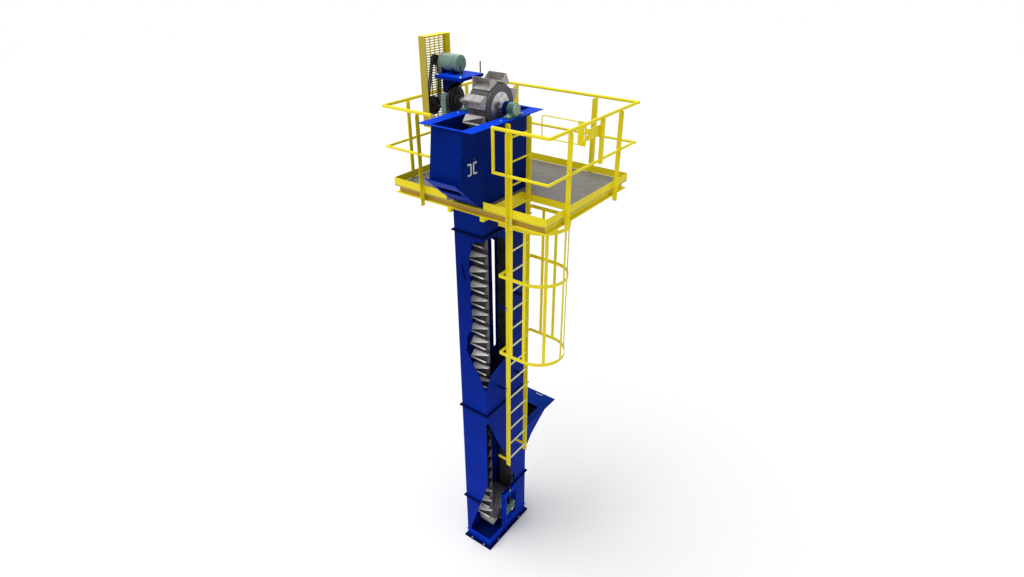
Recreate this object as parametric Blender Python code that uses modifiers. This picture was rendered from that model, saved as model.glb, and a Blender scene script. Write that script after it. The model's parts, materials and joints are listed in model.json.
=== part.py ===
"""Bucket elevator with cut-open casing, open head, drive, service platform and caged ladder.

Metres, +Z up. X runs along the head shaft, with the ladder on the +X side. Y runs through the
two belt strands, with the discharge towards -Y and the inlet towards +Y. The origin is the centre
of the base plate's underside.
"""

import math

import bmesh
import bpy
from mathutils import Matrix

# Clearances
SEAT_GAP = 0.0003
RUNNING_GAP = 0.006
BELT_GAP = 0.00095
BORE_GAP = 0.0009
OVERLAP = 0.001

# Casing sections, as half widths of the outside
CASING_X = 0.239
CASING_Y = 0.515
CASING_WALL = 0.005
CASING_FLANGE = 0.032
CASING_FLANGE_THICK = 0.006
BASE_MARGIN = 0.042
BASE_THICK = 0.020
BOOT_RIB_Z = 0.160
BOOT_RIB_OUT = 0.014
BOOT_TOP_Z = 0.985
LEG_JOINT_Z = 2.930
HEAD_JOINT_Z = 5.870
HEAD_TOP_Z = 7.317

# Head box with its bulging front, open top and sloping outlet
HEAD_FRONT_Y = -0.835
HEAD_BULGE_Y = -0.925
HEAD_BULGE_Z = 6.640
OUTLET_SLOPE = 0.93
OUTLET_LIP_Y = -1.000
OUTLET_LOW_Y = -0.700
OUTLET_RETURN_Y = -0.585
OUTLET_FRAME_THICK = 0.008
OUTLET_BORDER = 0.050
HEAD_FLANGE_X = 0.410
HEAD_FLANGE_Y = 0.040
HEAD_FLANGE_THICK = 0.008

# Belt loop and buckets
HEAD_AXIS_Z = 7.415
TAIL_AXIS_Z = 0.560
PULLEY_RADIUS = 0.270
PULLEY_HALF_WIDTH = 0.150
PULLEY_RIM = 0.014
PULLEY_DISC_INSET = 0.008
PULLEY_HUB_RADIUS = 0.070
BELT_THICK = 0.008
BELT_HALF_WIDTH = 0.128
BELT_ARC_STEPS = 24
PULLEY_STEPS = 24
SHEAVE_STEPS = 24
BUCKET_COUNT = 67
BUCKET_LEAD_ANGLE = 115.0
BUCKET_SINK = 0.0016
BUCKET_HALF_WIDTH = 0.135
BUCKET_REACH = 0.120
BUCKET_BACK = 0.160
BUCKET_FRONT = 0.090
BUCKET_FOOT = 0.040
BUCKET_SHEET = 0.004

# Shafts and bearings
HEAD_SHAFT_RADIUS = 0.035
HEAD_SHAFT_RIGHT_X = 0.398
HEAD_SHAFT_LEFT_X = -0.665
TAIL_SHAFT_RADIUS = 0.027
TAIL_SHAFT_HALF = 0.345
BEARING_NEAR_X = 0.290
BEARING_FAR_X = 0.405
BEARING_RADIUS = 0.078
BEARING_FOOT_HALF_Y = 0.140
BEARING_FOOT_HIGH = 0.028
SHAFT_SEAL_RADIUS = 0.082
SHAFT_SEAL_X = 0.222
ROUND_STEPS = 24

# Take-up on both sides of the boot
TAKE_UP_HALF_Y = 0.155
TAKE_UP_BAR_Y = 0.045
TAKE_UP_OUT = 0.085
TAKE_UP_MID = 0.051
TAKE_UP_LOW_Z = 0.300
TAKE_UP_TOP_Z = 0.960
TAKE_UP_BEAM = 0.040
TAKE_UP_BLOCK_HALF_Z = 0.085
TAKE_UP_BLOCK_THICK = 0.055
TAKE_UP_SCREW_RADIUS = 0.012
TAKE_UP_SCREW_TOP_Z = 1.045
TAKE_UP_SLOT_HALF_Y = 0.080
TAKE_UP_SLOT_LOW_Z = 0.420
TAKE_UP_SLOT_TOP_Z = 0.900

# Drive
REDUCER_RIGHT_X = -0.590
REDUCER_WIDTH = 0.090
REDUCER_HALF_Y = 0.170
REDUCER_LOW_Z = 7.190
REDUCER_TOP_Z = 7.505
REDUCER_CORNER = 0.055
INPUT_SHAFT_Y = -0.085
INPUT_SHAFT_Z = 7.310
INPUT_SHAFT_RADIUS = 0.018
REDUCER_FOOT_HALF_Y = 0.130
REDUCER_FOOT_HIGH = 0.100
STUB_DEPTH = 0.045
BORE_DEPTH = 0.050
COUPLING_RING_RADIUS = 0.160
COUPLING_RING_LENGTH = 0.035
COUPLING_RADIUS = 0.125
COUPLING_LENGTH = 0.060
COUPLING_NECK_RADIUS = 0.092
COUPLING_NECK_LENGTH = 0.035
SHEAVE_X = -0.880
SHEAVE_HALF_WIDTH = 0.030
DRIVEN_SHEAVE_RADIUS = 0.112
MOTOR_SHEAVE_RADIUS = 0.064
V_BELT_THICK = 0.012
MOTOR_RADIUS = 0.105
MOTOR_RIGHT_X = -0.450
MOTOR_LENGTH = 0.325
MOTOR_AXIS_Z = 7.857
MOTOR_SHAFT_RADIUS = 0.016
MOTOR_FOOT_HALF_Y = 0.095
MOTOR_FOOT_HIGH = 0.045
MOTOR_FOOT_INSET = 0.060
MOTOR_PLATE_LEFT_X = -0.710
MOTOR_PLATE_RIGHT_X = -0.280
MOTOR_PLATE_HALF_Y = 0.220
MOTOR_PLATE_TOP_Z = 7.730
MOTOR_PLATE_DEEP = 0.040
MOTOR_PLATE_SHEET = 0.008
STAND_HALF_Y = 0.110
STAND_SHEET = 0.010
STAND_NECK_Z = 7.555
STAND_WIDE_X = -0.360
ROD_RADIUS = 0.009
ROD_TOP_Z = 7.880
ROD_LOW_Z = 7.560
ROD_INSET = 0.028
DRIVE_BEAM_Z = 7.130
DRIVE_BEAM_DEEP = 0.060
DRIVE_BEAM_WIDE = 0.060
DRIVE_BEAM_Y = 0.130
DRIVE_SEAT_THICK = 0.010
DRIVE_SEAT_HALF_Y = 0.200
DRIVE_SEAT_MARGIN = 0.020

# Belt guard
GUARD_LEFT_X = -0.936
GUARD_RIGHT_X = -0.823
GUARD_HALF_Y = 0.232
GUARD_LOW_Z = 7.050
GUARD_TOP_Z = 8.163
GUARD_SHEET = 0.003
GUARD_COLUMNS = 4
GUARD_ROWS = 10
GUARD_SLOT_SHARE_Y = 0.80
GUARD_SLOT_SHARE_Z = 0.55
GUARD_BORDER = 0.025

# Platform
FRAME_HALF_X = 1.228
FRAME_BACK_Y = 1.454
CHANNEL_HIGH = 0.100
CHANNEL_WIDE = 0.045
CHANNEL_WEB = 0.005
FRAME_TOP_Z = 6.280
DECK_THICK = 0.005
DECK_EDGE = 0.0005
TOE_LOW = 0.010
TOE_HIGH = 0.100
TOE_SHEET = 0.005
TOE_GATEWAY_X = 0.300
SUPPORT_BEAM_WIDE = 0.055
SUPPORT_BEAM_HIGH = 0.060
OPENING_LEFT_X = 0.305
OPENING_RIGHT_X = FRAME_HALF_X - 0.078
OPENING_BACK_Y = 0.240
TRIMMER_WIDE = 0.025
JOIST_YS = (0.560, 0.980)
JOIST_WIDE = 0.045

# Handrails
RAIL_RADIUS = 0.021
RAIL_OUT = 0.038
RAIL_TOP_Z = 7.343
RAIL_MID_Z = 6.816
RAIL_MID_SHARE = 0.85
UPRIGHT_RADIUS = 0.020
UPRIGHT_INSET = 0.0126
RAIL_LEFT_END_X = -0.435
RAIL_RIGHT_END_X = 0.479
POST_LOW_Z = 6.120
POST_WIDE = 0.068
POST_LEG = 0.055
POST_SHEET = 0.006
POST_CHAMFER = 0.028
POST_FRONT_X = 0.687
POST_SIDE_YS = (-0.165, 1.050)
POST_BACK_X = 0.665

# Gate
GATE_HINGE_X = FRAME_HALF_X - 0.038
GATE_HINGE_Y = 0.285
GATE_LEAF_X = 0.575
GATE_TOP_Z = 7.320
GATE_LOW_Z = 7.045
GATE_ROD = 0.008
GATE_PLATE_WIDE = 0.080
GATE_PLATE_THICK = 0.008
GATE_PIN_RADIUS = 0.007
GATE_SLEEVE_RADIUS = 0.015
GATE_SLEEVE_HIGH = 0.060
GATE_POST_Y = 0.570
GATE_POST_HALF = 0.024
GATE_KNUCKLE_HALF = 0.010
GATE_TAB_HALF = 0.004
GATE_ARM_THICK = 0.008

# Ladder and cage
LADDER_X = 0.428
LADDER_Y = -0.0025
LADDER_CLEAR = 0.435
LADDER_RAIL_DEEP = 0.075
LADDER_RAIL_THICK = 0.012
LADDER_LOW_Z = 1.810
LADDER_TOP_Z = 7.300
RUNG_RADIUS = 0.0125
RUNG_PITCH = 0.3048
RUNG_COUNT = 18
RUNG_TOP_Z = 7.117
STAND_OFF_ZS = (1.900, 3.300, 4.700)
STAND_OFF_HIGH = 0.050
CAGE_HALF_Y = 0.375
CAGE_START_X = 0.388
CAGE_CENTRE_X = 0.790
CAGE_HOOP_ZS = (4.080, 5.312, 6.055)
CAGE_STRAP_HIGH = 0.050
CAGE_STRAP_THICK = 0.006
CAGE_BAR_WIDE = 0.045
CAGE_ARC_STEPS = 16
CAGE_BAR_ANGLES = (90, 45, 0, -45, -90)

# Inlet hopper
HOPPER_HALF_X = 0.270
HOPPER_SHEET = 0.005
HOPPER_TOP_Z = 2.075
HOPPER_FLANGE_THICK = 0.012
HOPPER_LOW_Z = 1.600
HOPPER_OUT_Y = 1.090
HOPPER_FLANGE_X = 0.300
HOPPER_FLANGE_Y = 1.330
HOPPER_MOUTH_X = 0.180
HOPPER_MOUTH_NEAR_Y = 0.600
HOPPER_MOUTH_FAR_Y = 0.980
HOPPER_SLOT_HALF = 0.075
HOPPER_SLOT_WIDE = 0.020
INLET_HALF_X = 0.190
INLET_LOW_Z = 1.660
INLET_TOP_Z = 1.990

# Inspection cover on the side of the head
COVER_NEAR_Y = -0.840
COVER_FAR_Y = -0.560
COVER_LOW_Z = 6.690
COVER_TOP_Z = 7.030
COVER_SHEET = 0.008
CLAMP_THICK = 0.012
CLAMP_WIDE = 0.024
CLAMP_REACH = 0.070
CLAMP_LOW_RISE = 0.070
CLAMP_TOP_DROP = 0.115

# Cut-open areas, as outlines on the front and right faces
UPPER_CUT_FRONT = (
    (0.300, 5.800), (0.099, 5.770), (0.041, 5.700), (0.044, 5.640), (-0.012, 5.506), (0.006, 5.100),
    (0.008, 4.391), (-0.084, 4.240), (-0.110, 3.989), (-0.005, 3.803), (0.120, 3.609),
    (0.211, 3.396), (0.300, 3.372),
)
UPPER_CUT_RIGHT = (
    (-0.600, 5.800), (-0.368, 5.815), (-0.225, 5.792), (-0.050, 5.669), (0.000, 5.500),
    (0.000, 3.735), (-0.286, 3.642), (-0.393, 3.595), (-0.482, 3.444), (-0.510, 3.372),
    (-0.600, 3.372),
)
LOWER_CUT_FRONT = ((0.300, 1.597), (0.262, 1.597), (-0.157, 0.269), (-0.157, 0.190), (0.300, 0.190))
LOWER_CUT_RIGHT = (
    (-0.600, 2.790), (-0.477, 2.753), (-0.221, 2.156), (-0.062, 1.871), (0.022, 1.529),
    (0.207, 1.124), (0.190, 1.000), (-0.165, 1.000), (-0.165, 0.190), (-0.600, 0.190),
)
SLIVER_CUT = ((-0.150, 5.440), (-0.095, 5.300), (-0.060, 5.064), (-0.120, 5.240))
FAR_OPENING_Y = (0.000, 0.340)
FAR_OPENING_Z = (3.570, 5.450)

FRONT_TIP_Y = -(CASING_Y + SEAT_GAP + CHANNEL_WIDE + CHANNEL_WEB)
BELT_INNER = PULLEY_RADIUS + BELT_GAP
BELT_OUTER = BELT_INNER + BELT_THICK
RAIL_X = FRAME_HALF_X + RAIL_OUT
RAIL_FRONT_Y = FRONT_TIP_Y - RAIL_OUT
RAIL_BACK_Y = FRAME_BACK_Y + RAIL_OUT
DECK_LOW_Z = FRAME_TOP_Z + SEAT_GAP
REDUCER_LEFT_X = REDUCER_RIGHT_X - REDUCER_WIDTH

PARTS = "bucket_elevator"
CUTTERS = "cutters"


def clear_scene():
    for item in list(bpy.data.objects):
        bpy.data.objects.remove(item, do_unlink=True)


def collection(name):
    if name not in bpy.data.collections:
        made = bpy.data.collections.new(name)
        bpy.context.scene.collection.children.link(made)
    return bpy.data.collections[name]


def material(name, rgb, roughness, metallic):
    made = bpy.data.materials.new(name)
    made.use_nodes = True
    shader = made.node_tree.nodes["Principled BSDF"]
    shader.inputs["Base Color"].default_value = (*rgb, 1.0)
    shader.inputs["Roughness"].default_value = roughness
    shader.inputs["Metallic"].default_value = metallic
    return made


def make_materials():
    return {
        "blue": material("blue_paint", (0.010, 0.045, 0.35), 0.35, 0.0),
        "yellow": material("yellow_paint", (0.80, 0.65, 0.03), 0.40, 0.0),
        "green": material("machine_green", (0.14, 0.24, 0.21), 0.45, 0.0),
        "steel": material("bare_steel", (0.50, 0.49, 0.47), 0.35, 0.9),
        "dark": material("dark_rubber", (0.022, 0.020, 0.020), 0.70, 0.0),
        "deck": material("deck_plate", (0.17, 0.17, 0.18), 0.55, 0.6),
        "pale": material("galvanised", (0.60, 0.72, 0.60), 0.45, 0.3),
    }


def place(name, mesh_data, finish, group=PARTS, location=(0, 0, 0), rotation=(0, 0, 0)):
    """One named object from a bmesh, in its collection."""
    bmesh.ops.recalc_face_normals(mesh_data, faces=mesh_data.faces)
    data = bpy.data.meshes.new(name)
    mesh_data.to_mesh(data)
    mesh_data.free()
    made = bpy.data.objects.new(name, data)
    made.location = location
    made.rotation_euler = rotation
    if finish:
        data.materials.append(finish)
    collection(group).objects.link(made)
    if group == CUTTERS:
        made.hide_render = True
        made.display_type = "WIRE"
    return made


def add_box(mesh_data, xs, ys, zs):
    """A box between two x, two y and two z values."""
    size = Matrix.Diagonal((xs[1] - xs[0], ys[1] - ys[0], zs[1] - zs[0], 1.0))
    middle = Matrix.Translation(((xs[0] + xs[1]) / 2, (ys[0] + ys[1]) / 2, (zs[0] + zs[1]) / 2))
    bmesh.ops.create_cube(mesh_data, size=1.0, matrix=middle @ size)


def boxes(*spans):
    mesh_data = bmesh.new()
    for xs, ys, zs in spans:
        add_box(mesh_data, xs, ys, zs)
    return mesh_data


TURN = {
    "x": Matrix.Rotation(math.radians(90), 4, "Y"),
    "y": Matrix.Rotation(math.radians(-90), 4, "X"),
    "z": Matrix.Identity(4),
}


def add_rod(mesh_data, radius, span, axis, centre, steps=ROUND_STEPS):
    """A cylinder along an axis, between two values on it, at the other two coordinates."""
    middle = (span[0] + span[1]) / 2
    if axis == "x":
        spot = (middle, centre[0], centre[1])
    elif axis == "y":
        spot = (centre[0], middle, centre[1])
    else:
        spot = (centre[0], centre[1], middle)
    bmesh.ops.create_cone(
        mesh_data, cap_ends=True, segments=steps, radius1=radius, radius2=radius,
        depth=span[1] - span[0], matrix=Matrix.Translation(spot) @ TURN[axis],
    )


def rods(*specs, steps=ROUND_STEPS):
    mesh_data = bmesh.new()
    for radius, span, axis, centre in specs:
        add_rod(mesh_data, radius, span, axis, centre, steps)
    return mesh_data


def add_extrusion(mesh_data, outline, axis, span):
    """An outline in the plane across an axis, drawn out along that axis."""
    def spot(u, v, along):
        return {"x": (along, u, v), "y": (u, along, v), "z": (u, v, along)}[axis]

    corners = [mesh_data.verts.new(spot(u, v, span[0])) for u, v in outline]
    face = mesh_data.faces.new(corners)
    drawn = bmesh.ops.extrude_face_region(mesh_data, geom=[face])
    moved = [item for item in drawn["geom"] if isinstance(item, bmesh.types.BMVert)]
    shift = span[1] - span[0]
    step = {"x": (shift, 0, 0), "y": (0, shift, 0), "z": (0, 0, shift)}[axis]
    bmesh.ops.translate(mesh_data, verts=moved, vec=step)


def extrusion(outline, axis, span):
    mesh_data = bmesh.new()
    add_extrusion(mesh_data, outline, axis, span)
    return mesh_data


def rectangle_sweep(centre, half_x, half_y, profile):
    """A closed profile of (outward offset, z) points, carried round a rectangle with mitred corners."""
    mesh_data = bmesh.new()
    loops = []
    for sign_x, sign_y in ((-1, -1), (1, -1), (1, 1), (-1, 1)):
        corner = []
        for offset, height in profile:
            x = centre[0] + sign_x * (half_x + offset)
            y = centre[1] + sign_y * (half_y + offset)
            corner.append(mesh_data.verts.new((x, y, height)))
        loops.append(corner)
    count = len(profile)
    for index in range(4):
        here = loops[index]
        after = loops[(index + 1) % 4]
        for step in range(count):
            ahead = (step + 1) % count
            mesh_data.faces.new((here[step], after[step], after[ahead], here[ahead]))
    return mesh_data


def turned(name, profile, finish, centre, steps=ROUND_STEPS, solid=False):
    """A profile of (radius, x) points turned about the X axis: a ring, or solid from axis to axis."""
    mesh_data = bmesh.new()
    points = [mesh_data.verts.new((radius, 0.0, along)) for radius, along in profile]
    for before, after in zip(points, points[1:] + ([] if solid else points[:1])):
        mesh_data.edges.new((before, after))
    data = bpy.data.meshes.new(name)
    mesh_data.to_mesh(data)
    mesh_data.free()
    data.materials.append(finish)
    made = bpy.data.objects.new(name, data)
    made.location = (0.0, centre[0], centre[1])
    made.rotation_euler = (0.0, math.radians(90), 0.0)
    collection(PARTS).objects.link(made)
    screw = made.modifiers.new("turn", "SCREW")
    screw.axis = "Z"
    screw.angle = math.tau
    screw.steps = steps
    screw.render_steps = steps
    screw.use_merge_vertices = True
    screw.merge_threshold = 0.00001
    screw.use_normal_calculate = solid
    screw.use_normal_flip = solid
    return made


def combine(target, mesh_data, operation, label, crossing=False):
    """Joins to, or cuts from, a target with a hidden operand, whose shells may cross each other."""
    operand = place(f"{target.name}_{label}", mesh_data, None, CUTTERS)
    modifier = target.modifiers.new(label, "BOOLEAN")
    modifier.operation = operation
    modifier.solver = "EXACT"
    modifier.use_self = crossing
    modifier.object = operand
    return operand


def tube(points, radius, sides=12):
    """A mesh tube along straight runs, from a curve with its caps welded on."""
    curve = bpy.data.curves.new("tube", "CURVE")
    curve.dimensions = "3D"
    curve.bevel_depth = radius
    curve.bevel_resolution = sides // 2 - 2
    curve.use_fill_caps = True
    curve.resolution_u = 1
    curve.render_resolution_u = 0
    line = curve.splines.new("POLY")
    line.points.add(len(points) - 1)
    for slot, point in zip(line.points, points):
        slot.co = (*point, 1.0)
    holder = bpy.data.objects.new("tube", curve)
    collection(CUTTERS).objects.link(holder)
    graph = bpy.context.evaluated_depsgraph_get()
    data = bpy.data.meshes.new_from_object(holder.evaluated_get(graph))
    mesh_data = bmesh.new()
    mesh_data.from_mesh(data)
    bmesh.ops.remove_doubles(mesh_data, verts=mesh_data.verts, dist=0.00001)
    bpy.data.objects.remove(holder, do_unlink=True)
    bpy.data.curves.remove(curve)
    bpy.data.meshes.remove(data)
    return mesh_data


def merged(*parts):
    """Several bmeshes as the separate shells of one."""
    whole = bmesh.new()
    for part in parts:
        bmesh.ops.recalc_face_normals(part, faces=part.faces)
        data = bpy.data.meshes.new("part")
        part.to_mesh(data)
        part.free()
        whole.from_mesh(data)
        bpy.data.meshes.remove(data)
    return whole


# Casing
def casing_profile(low_z, top_z, rib_z=None):
    """The wall with a flange at each end, and a low rib where one is wanted."""
    wall = [(-CASING_WALL, low_z), (CASING_FLANGE, low_z)]
    wall += [(CASING_FLANGE, low_z + CASING_FLANGE_THICK), (0.0, low_z + CASING_FLANGE_THICK)]
    if rib_z is not None:
        wall += [(0.0, rib_z), (BOOT_RIB_OUT, rib_z)]
        wall += [(BOOT_RIB_OUT, rib_z + CASING_FLANGE_THICK), (0.0, rib_z + CASING_FLANGE_THICK)]
    wall += [(0.0, top_z - CASING_FLANGE_THICK), (CASING_FLANGE, top_z - CASING_FLANGE_THICK)]
    wall += [(CASING_FLANGE, top_z), (-CASING_WALL, top_z)]
    return wall


def cut_faces(section, front, right, label):
    """Cuts an outline through the front wall and another through the right wall."""
    reach = CASING_FLANGE + 0.05
    front_span = (-CASING_Y - reach, -CASING_Y + CASING_WALL + 0.012)
    right_span = (CASING_X - CASING_WALL - 0.012, CASING_X + reach)
    combine(section, extrusion(front, "y", front_span), "DIFFERENCE", f"{label}_front")
    combine(section, extrusion(right, "x", right_span), "DIFFERENCE", f"{label}_right")


def make_base_plate(finish):
    half_x = CASING_X + BASE_MARGIN
    half_y = CASING_Y + BASE_MARGIN
    plate = boxes(((-half_x, half_x), (-half_y, half_y), (0.0, BASE_THICK)))
    place("base_plate", plate, finish)


def make_boot(finish):
    profile = casing_profile(BASE_THICK + SEAT_GAP, BOOT_TOP_Z, BOOT_RIB_Z)
    boot = place("boot_casing", rectangle_sweep((0, 0), CASING_X, CASING_Y, profile), finish)
    cut_faces(boot, LOWER_CUT_FRONT, LOWER_CUT_RIGHT, "cut")
    reach = CASING_X + CASING_FLANGE + 0.05
    slot = boxes((
        (-reach, reach),
        (-TAKE_UP_SLOT_HALF_Y, TAKE_UP_SLOT_HALF_Y),
        (TAKE_UP_SLOT_LOW_Z, TAKE_UP_SLOT_TOP_Z),
    ))
    combine(boot, slot, "DIFFERENCE", "shaft_slot")


def make_lower_leg(finish):
    profile = casing_profile(BOOT_TOP_Z + SEAT_GAP, LEG_JOINT_Z)
    leg = place("lower_leg_casing", rectangle_sweep((0, 0), CASING_X, CASING_Y, profile), finish)
    cut_faces(leg, LOWER_CUT_FRONT, LOWER_CUT_RIGHT, "cut")
    inlet = boxes((
        (-INLET_HALF_X, INLET_HALF_X),
        (CASING_Y - 2 * CASING_WALL, CASING_Y + CASING_WALL),
        (INLET_LOW_Z, INLET_TOP_Z),
    ))
    combine(leg, inlet, "DIFFERENCE", "inlet")


def make_upper_leg(finish):
    profile = casing_profile(LEG_JOINT_Z + SEAT_GAP, HEAD_JOINT_Z)
    leg = place("upper_leg_casing", rectangle_sweep((0, 0), CASING_X, CASING_Y, profile), finish)
    cut_faces(leg, UPPER_CUT_FRONT, UPPER_CUT_RIGHT, "cut")
    sliver_span = (-CASING_Y - CASING_WALL, -CASING_Y + 2 * CASING_WALL)
    combine(leg, extrusion(SLIVER_CUT, "y", sliver_span), "DIFFERENCE", "sliver")
    far = boxes((
        (-CASING_X - CASING_WALL, -CASING_X + 2 * CASING_WALL), FAR_OPENING_Y, FAR_OPENING_Z,
    ))
    combine(leg, far, "DIFFERENCE", "far_opening")


def outlet_z(y):
    """Height of the sloping outlet plane at a depth."""
    return HEAD_BULGE_Z - OUTLET_SLOPE * (y - HEAD_BULGE_Y)


def head_outline(inset, low_z, top_z):
    """Side view of the head box, moved in by a wall, with chosen ends."""
    lean = (HEAD_BULGE_Y - HEAD_FRONT_Y) / (HEAD_TOP_Z - HEAD_BULGE_Z)
    slope_inset = inset * math.hypot(1.0, OUTLET_SLOPE)
    front_top = HEAD_FRONT_Y + lean * (HEAD_TOP_Z - top_z) + inset
    corner_y = HEAD_BULGE_Y + inset
    return (
        (CASING_Y - inset, low_z),
        (CASING_Y - inset, top_z),
        (front_top, top_z),
        (corner_y, outlet_z(corner_y) + slope_inset),
        (OUTLET_RETURN_Y + inset, outlet_z(OUTLET_RETURN_Y) + slope_inset),
        (-CASING_Y + inset, outlet_z(OUTLET_RETURN_Y) + slope_inset),
        (-CASING_Y + inset, low_z),
    )


def make_head(finish):
    low_z = HEAD_JOINT_Z + SEAT_GAP
    body = extrusion(head_outline(0.0, low_z, HEAD_TOP_Z), "x", (-CASING_X, CASING_X))
    head = place("head_casing", body, finish)
    reach_x = CASING_X + CASING_FLANGE
    reach_y = CASING_Y + CASING_FLANGE
    flanges = boxes(
        ((-reach_x, reach_x), (-reach_y, reach_y), (low_z, low_z + CASING_FLANGE_THICK)),
        (
            (-HEAD_FLANGE_X, HEAD_FLANGE_X),
            (HEAD_FRONT_Y - HEAD_FLANGE_Y, CASING_Y + HEAD_FLANGE_Y),
            (HEAD_TOP_Z - HEAD_FLANGE_THICK, HEAD_TOP_Z + OVERLAP),
        ),
    )
    combine(head, flanges, "UNION", "flanges")
    inner_x = CASING_X - CASING_WALL
    inner = head_outline(CASING_WALL, low_z - 0.05, HEAD_TOP_Z + 0.05)
    combine(head, extrusion(inner, "x", (-inner_x, inner_x)), "DIFFERENCE", "inside")
    lean = (OUTLET_BORDER, OUTLET_BORDER * OUTLET_SLOPE)
    mouth = (
        (HEAD_BULGE_Y + lean[0], outlet_z(HEAD_BULGE_Y) - lean[1] + 0.03),
        (HEAD_BULGE_Y + lean[0], outlet_z(HEAD_BULGE_Y) - lean[1] - 0.03),
        (OUTLET_LOW_Y - lean[0], outlet_z(OUTLET_LOW_Y) + lean[1] - 0.03),
        (OUTLET_LOW_Y - lean[0], outlet_z(OUTLET_LOW_Y) + lean[1] + 0.03),
    )
    half = CASING_X - OUTLET_BORDER
    combine(head, extrusion(mouth, "x", (-half, half)), "DIFFERENCE", "outlet")


def make_outlet_frame(finish):
    """The sloping frame below the front of the head, where a discharge chute bolts on."""
    drop = OUTLET_FRAME_THICK * math.hypot(1.0, OUTLET_SLOPE)
    def edge(y, down):
        return (y, outlet_z(y) - SEAT_GAP * 2 - down)

    outline = (
        edge(OUTLET_LIP_Y, 0.0), edge(OUTLET_LIP_Y, drop),
        edge(OUTLET_LOW_Y, drop), edge(OUTLET_LOW_Y, 0.0),
    )
    frame = place("outlet_frame", extrusion(outline, "x", (-CASING_X, CASING_X)), finish)
    near = HEAD_BULGE_Y + OUTLET_BORDER
    far = OUTLET_LOW_Y - OUTLET_BORDER
    mouth = (
        (near, outlet_z(near) + 0.03), (near, outlet_z(near) - 0.04),
        (far, outlet_z(far) - 0.04), (far, outlet_z(far) + 0.03),
    )
    half = CASING_X - OUTLET_BORDER
    combine(frame, extrusion(mouth, "x", (-half, half)), "DIFFERENCE", "mouth")


def make_inspection_cover(finish):
    near_x = CASING_X + SEAT_GAP
    far_x = near_x + COVER_SHEET
    sheet = boxes(((near_x, far_x), (COVER_NEAR_Y, COVER_FAR_Y), (COVER_LOW_Z, COVER_TOP_Z)))
    cover = place("inspection_cover", sheet, finish)
    middle = (COVER_NEAR_Y + COVER_FAR_Y) / 2
    thick = (far_x - OVERLAP, far_x + CLAMP_THICK)
    high = (COVER_LOW_Z + CLAMP_LOW_RISE, COVER_TOP_Z - CLAMP_TOP_DROP)
    for side in (-1, 1):
        near = middle + side * 0.014
        far = near + side * CLAMP_REACH
        inner = sorted((near, near + side * CLAMP_WIDE))
        arm = sorted((near + side * (CLAMP_WIDE - OVERLAP), far))
        label = "clamp_near" if side < 0 else "clamp_far"
        combine(cover, boxes((thick, inner, high)), "UNION", f"{label}_bar")
        arms = boxes(
            (thick, arm, (high[0] + OVERLAP, high[0] + CLAMP_WIDE)),
            (thick, arm, (high[1] - CLAMP_WIDE, high[1] - OVERLAP)),
        )
        combine(cover, arms, "UNION", f"{label}_arms")
    knob = rods((0.016, (far_x - OVERLAP, far_x + 0.030), "x", (middle + 0.02, high[1] + 0.035)), steps=16)
    combine(cover, knob, "UNION", "knob")


# Inlet
def make_hopper(finish):
    near_y = CASING_Y + SEAT_GAP
    top_z = HOPPER_TOP_Z - HOPPER_FLANGE_THICK - SEAT_GAP
    rise = top_z - HOPPER_LOW_Z
    run = HOPPER_OUT_Y - near_y

    def outline(inset, near, top):
        return (
            (near, HOPPER_LOW_Z + inset),
            (near_y + 0.24 * run, HOPPER_LOW_Z + 0.34 * rise + inset),
            (near_y + 0.63 * run, HOPPER_LOW_Z + 0.66 * rise + inset),
            (HOPPER_OUT_Y - inset, top_z - 0.02),
            (HOPPER_OUT_Y - inset, top),
            (near, top),
        )

    shell = extrusion(outline(0.0, near_y, top_z), "x", (-HOPPER_HALF_X, HOPPER_HALF_X))
    hopper = place("inlet_hopper", shell, finish)
    half = HOPPER_HALF_X - HOPPER_SHEET
    inside = outline(HOPPER_SHEET * 1.3, near_y - 0.02, top_z + 0.02)
    combine(hopper, extrusion(inside, "x", (-half, half)), "DIFFERENCE", "inside")
    plate = boxes((
        (-HOPPER_FLANGE_X, HOPPER_FLANGE_X),
        (near_y, HOPPER_FLANGE_Y),
        (HOPPER_TOP_Z - HOPPER_FLANGE_THICK, HOPPER_TOP_Z),
    ))
    flange = place("inlet_flange", plate, finish)
    through = (HOPPER_TOP_Z - 0.05, HOPPER_TOP_Z + 0.05)
    slot_y = HOPPER_FLANGE_Y - 0.055
    holes = boxes(
        ((-HOPPER_MOUTH_X, HOPPER_MOUTH_X), (HOPPER_MOUTH_NEAR_Y, HOPPER_MOUTH_FAR_Y), through),
        ((-HOPPER_SLOT_HALF, HOPPER_SLOT_HALF), (slot_y, slot_y + HOPPER_SLOT_WIDE), through),
    )
    combine(flange, holes, "DIFFERENCE", "holes")


# Belt, buckets and pulleys
def loop_point(distance):
    """Place, outward direction and travel direction on the belt line, going up at +Y."""
    straight = HEAD_AXIS_Z - TAIL_AXIS_Z
    arc = math.pi * BELT_OUTER
    total = 2 * (straight + arc)
    along = distance % total
    if along < straight:
        return (BELT_OUTER, TAIL_AXIS_Z + along), (1.0, 0.0), (0.0, 1.0)
    along -= straight
    if along < arc:
        angle = along / BELT_OUTER
        out = (math.cos(angle), math.sin(angle))
        spot = (BELT_OUTER * out[0], HEAD_AXIS_Z + BELT_OUTER * out[1])
        return spot, out, (-out[1], out[0])
    along -= arc
    if along < straight:
        return (-BELT_OUTER, HEAD_AXIS_Z - along), (-1.0, 0.0), (0.0, -1.0)
    angle = math.pi + (along - straight) / BELT_OUTER
    out = (math.cos(angle), math.sin(angle))
    spot = (BELT_OUTER * out[0], TAIL_AXIS_Z + BELT_OUTER * out[1])
    return spot, out, (-out[1], out[0])


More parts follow.
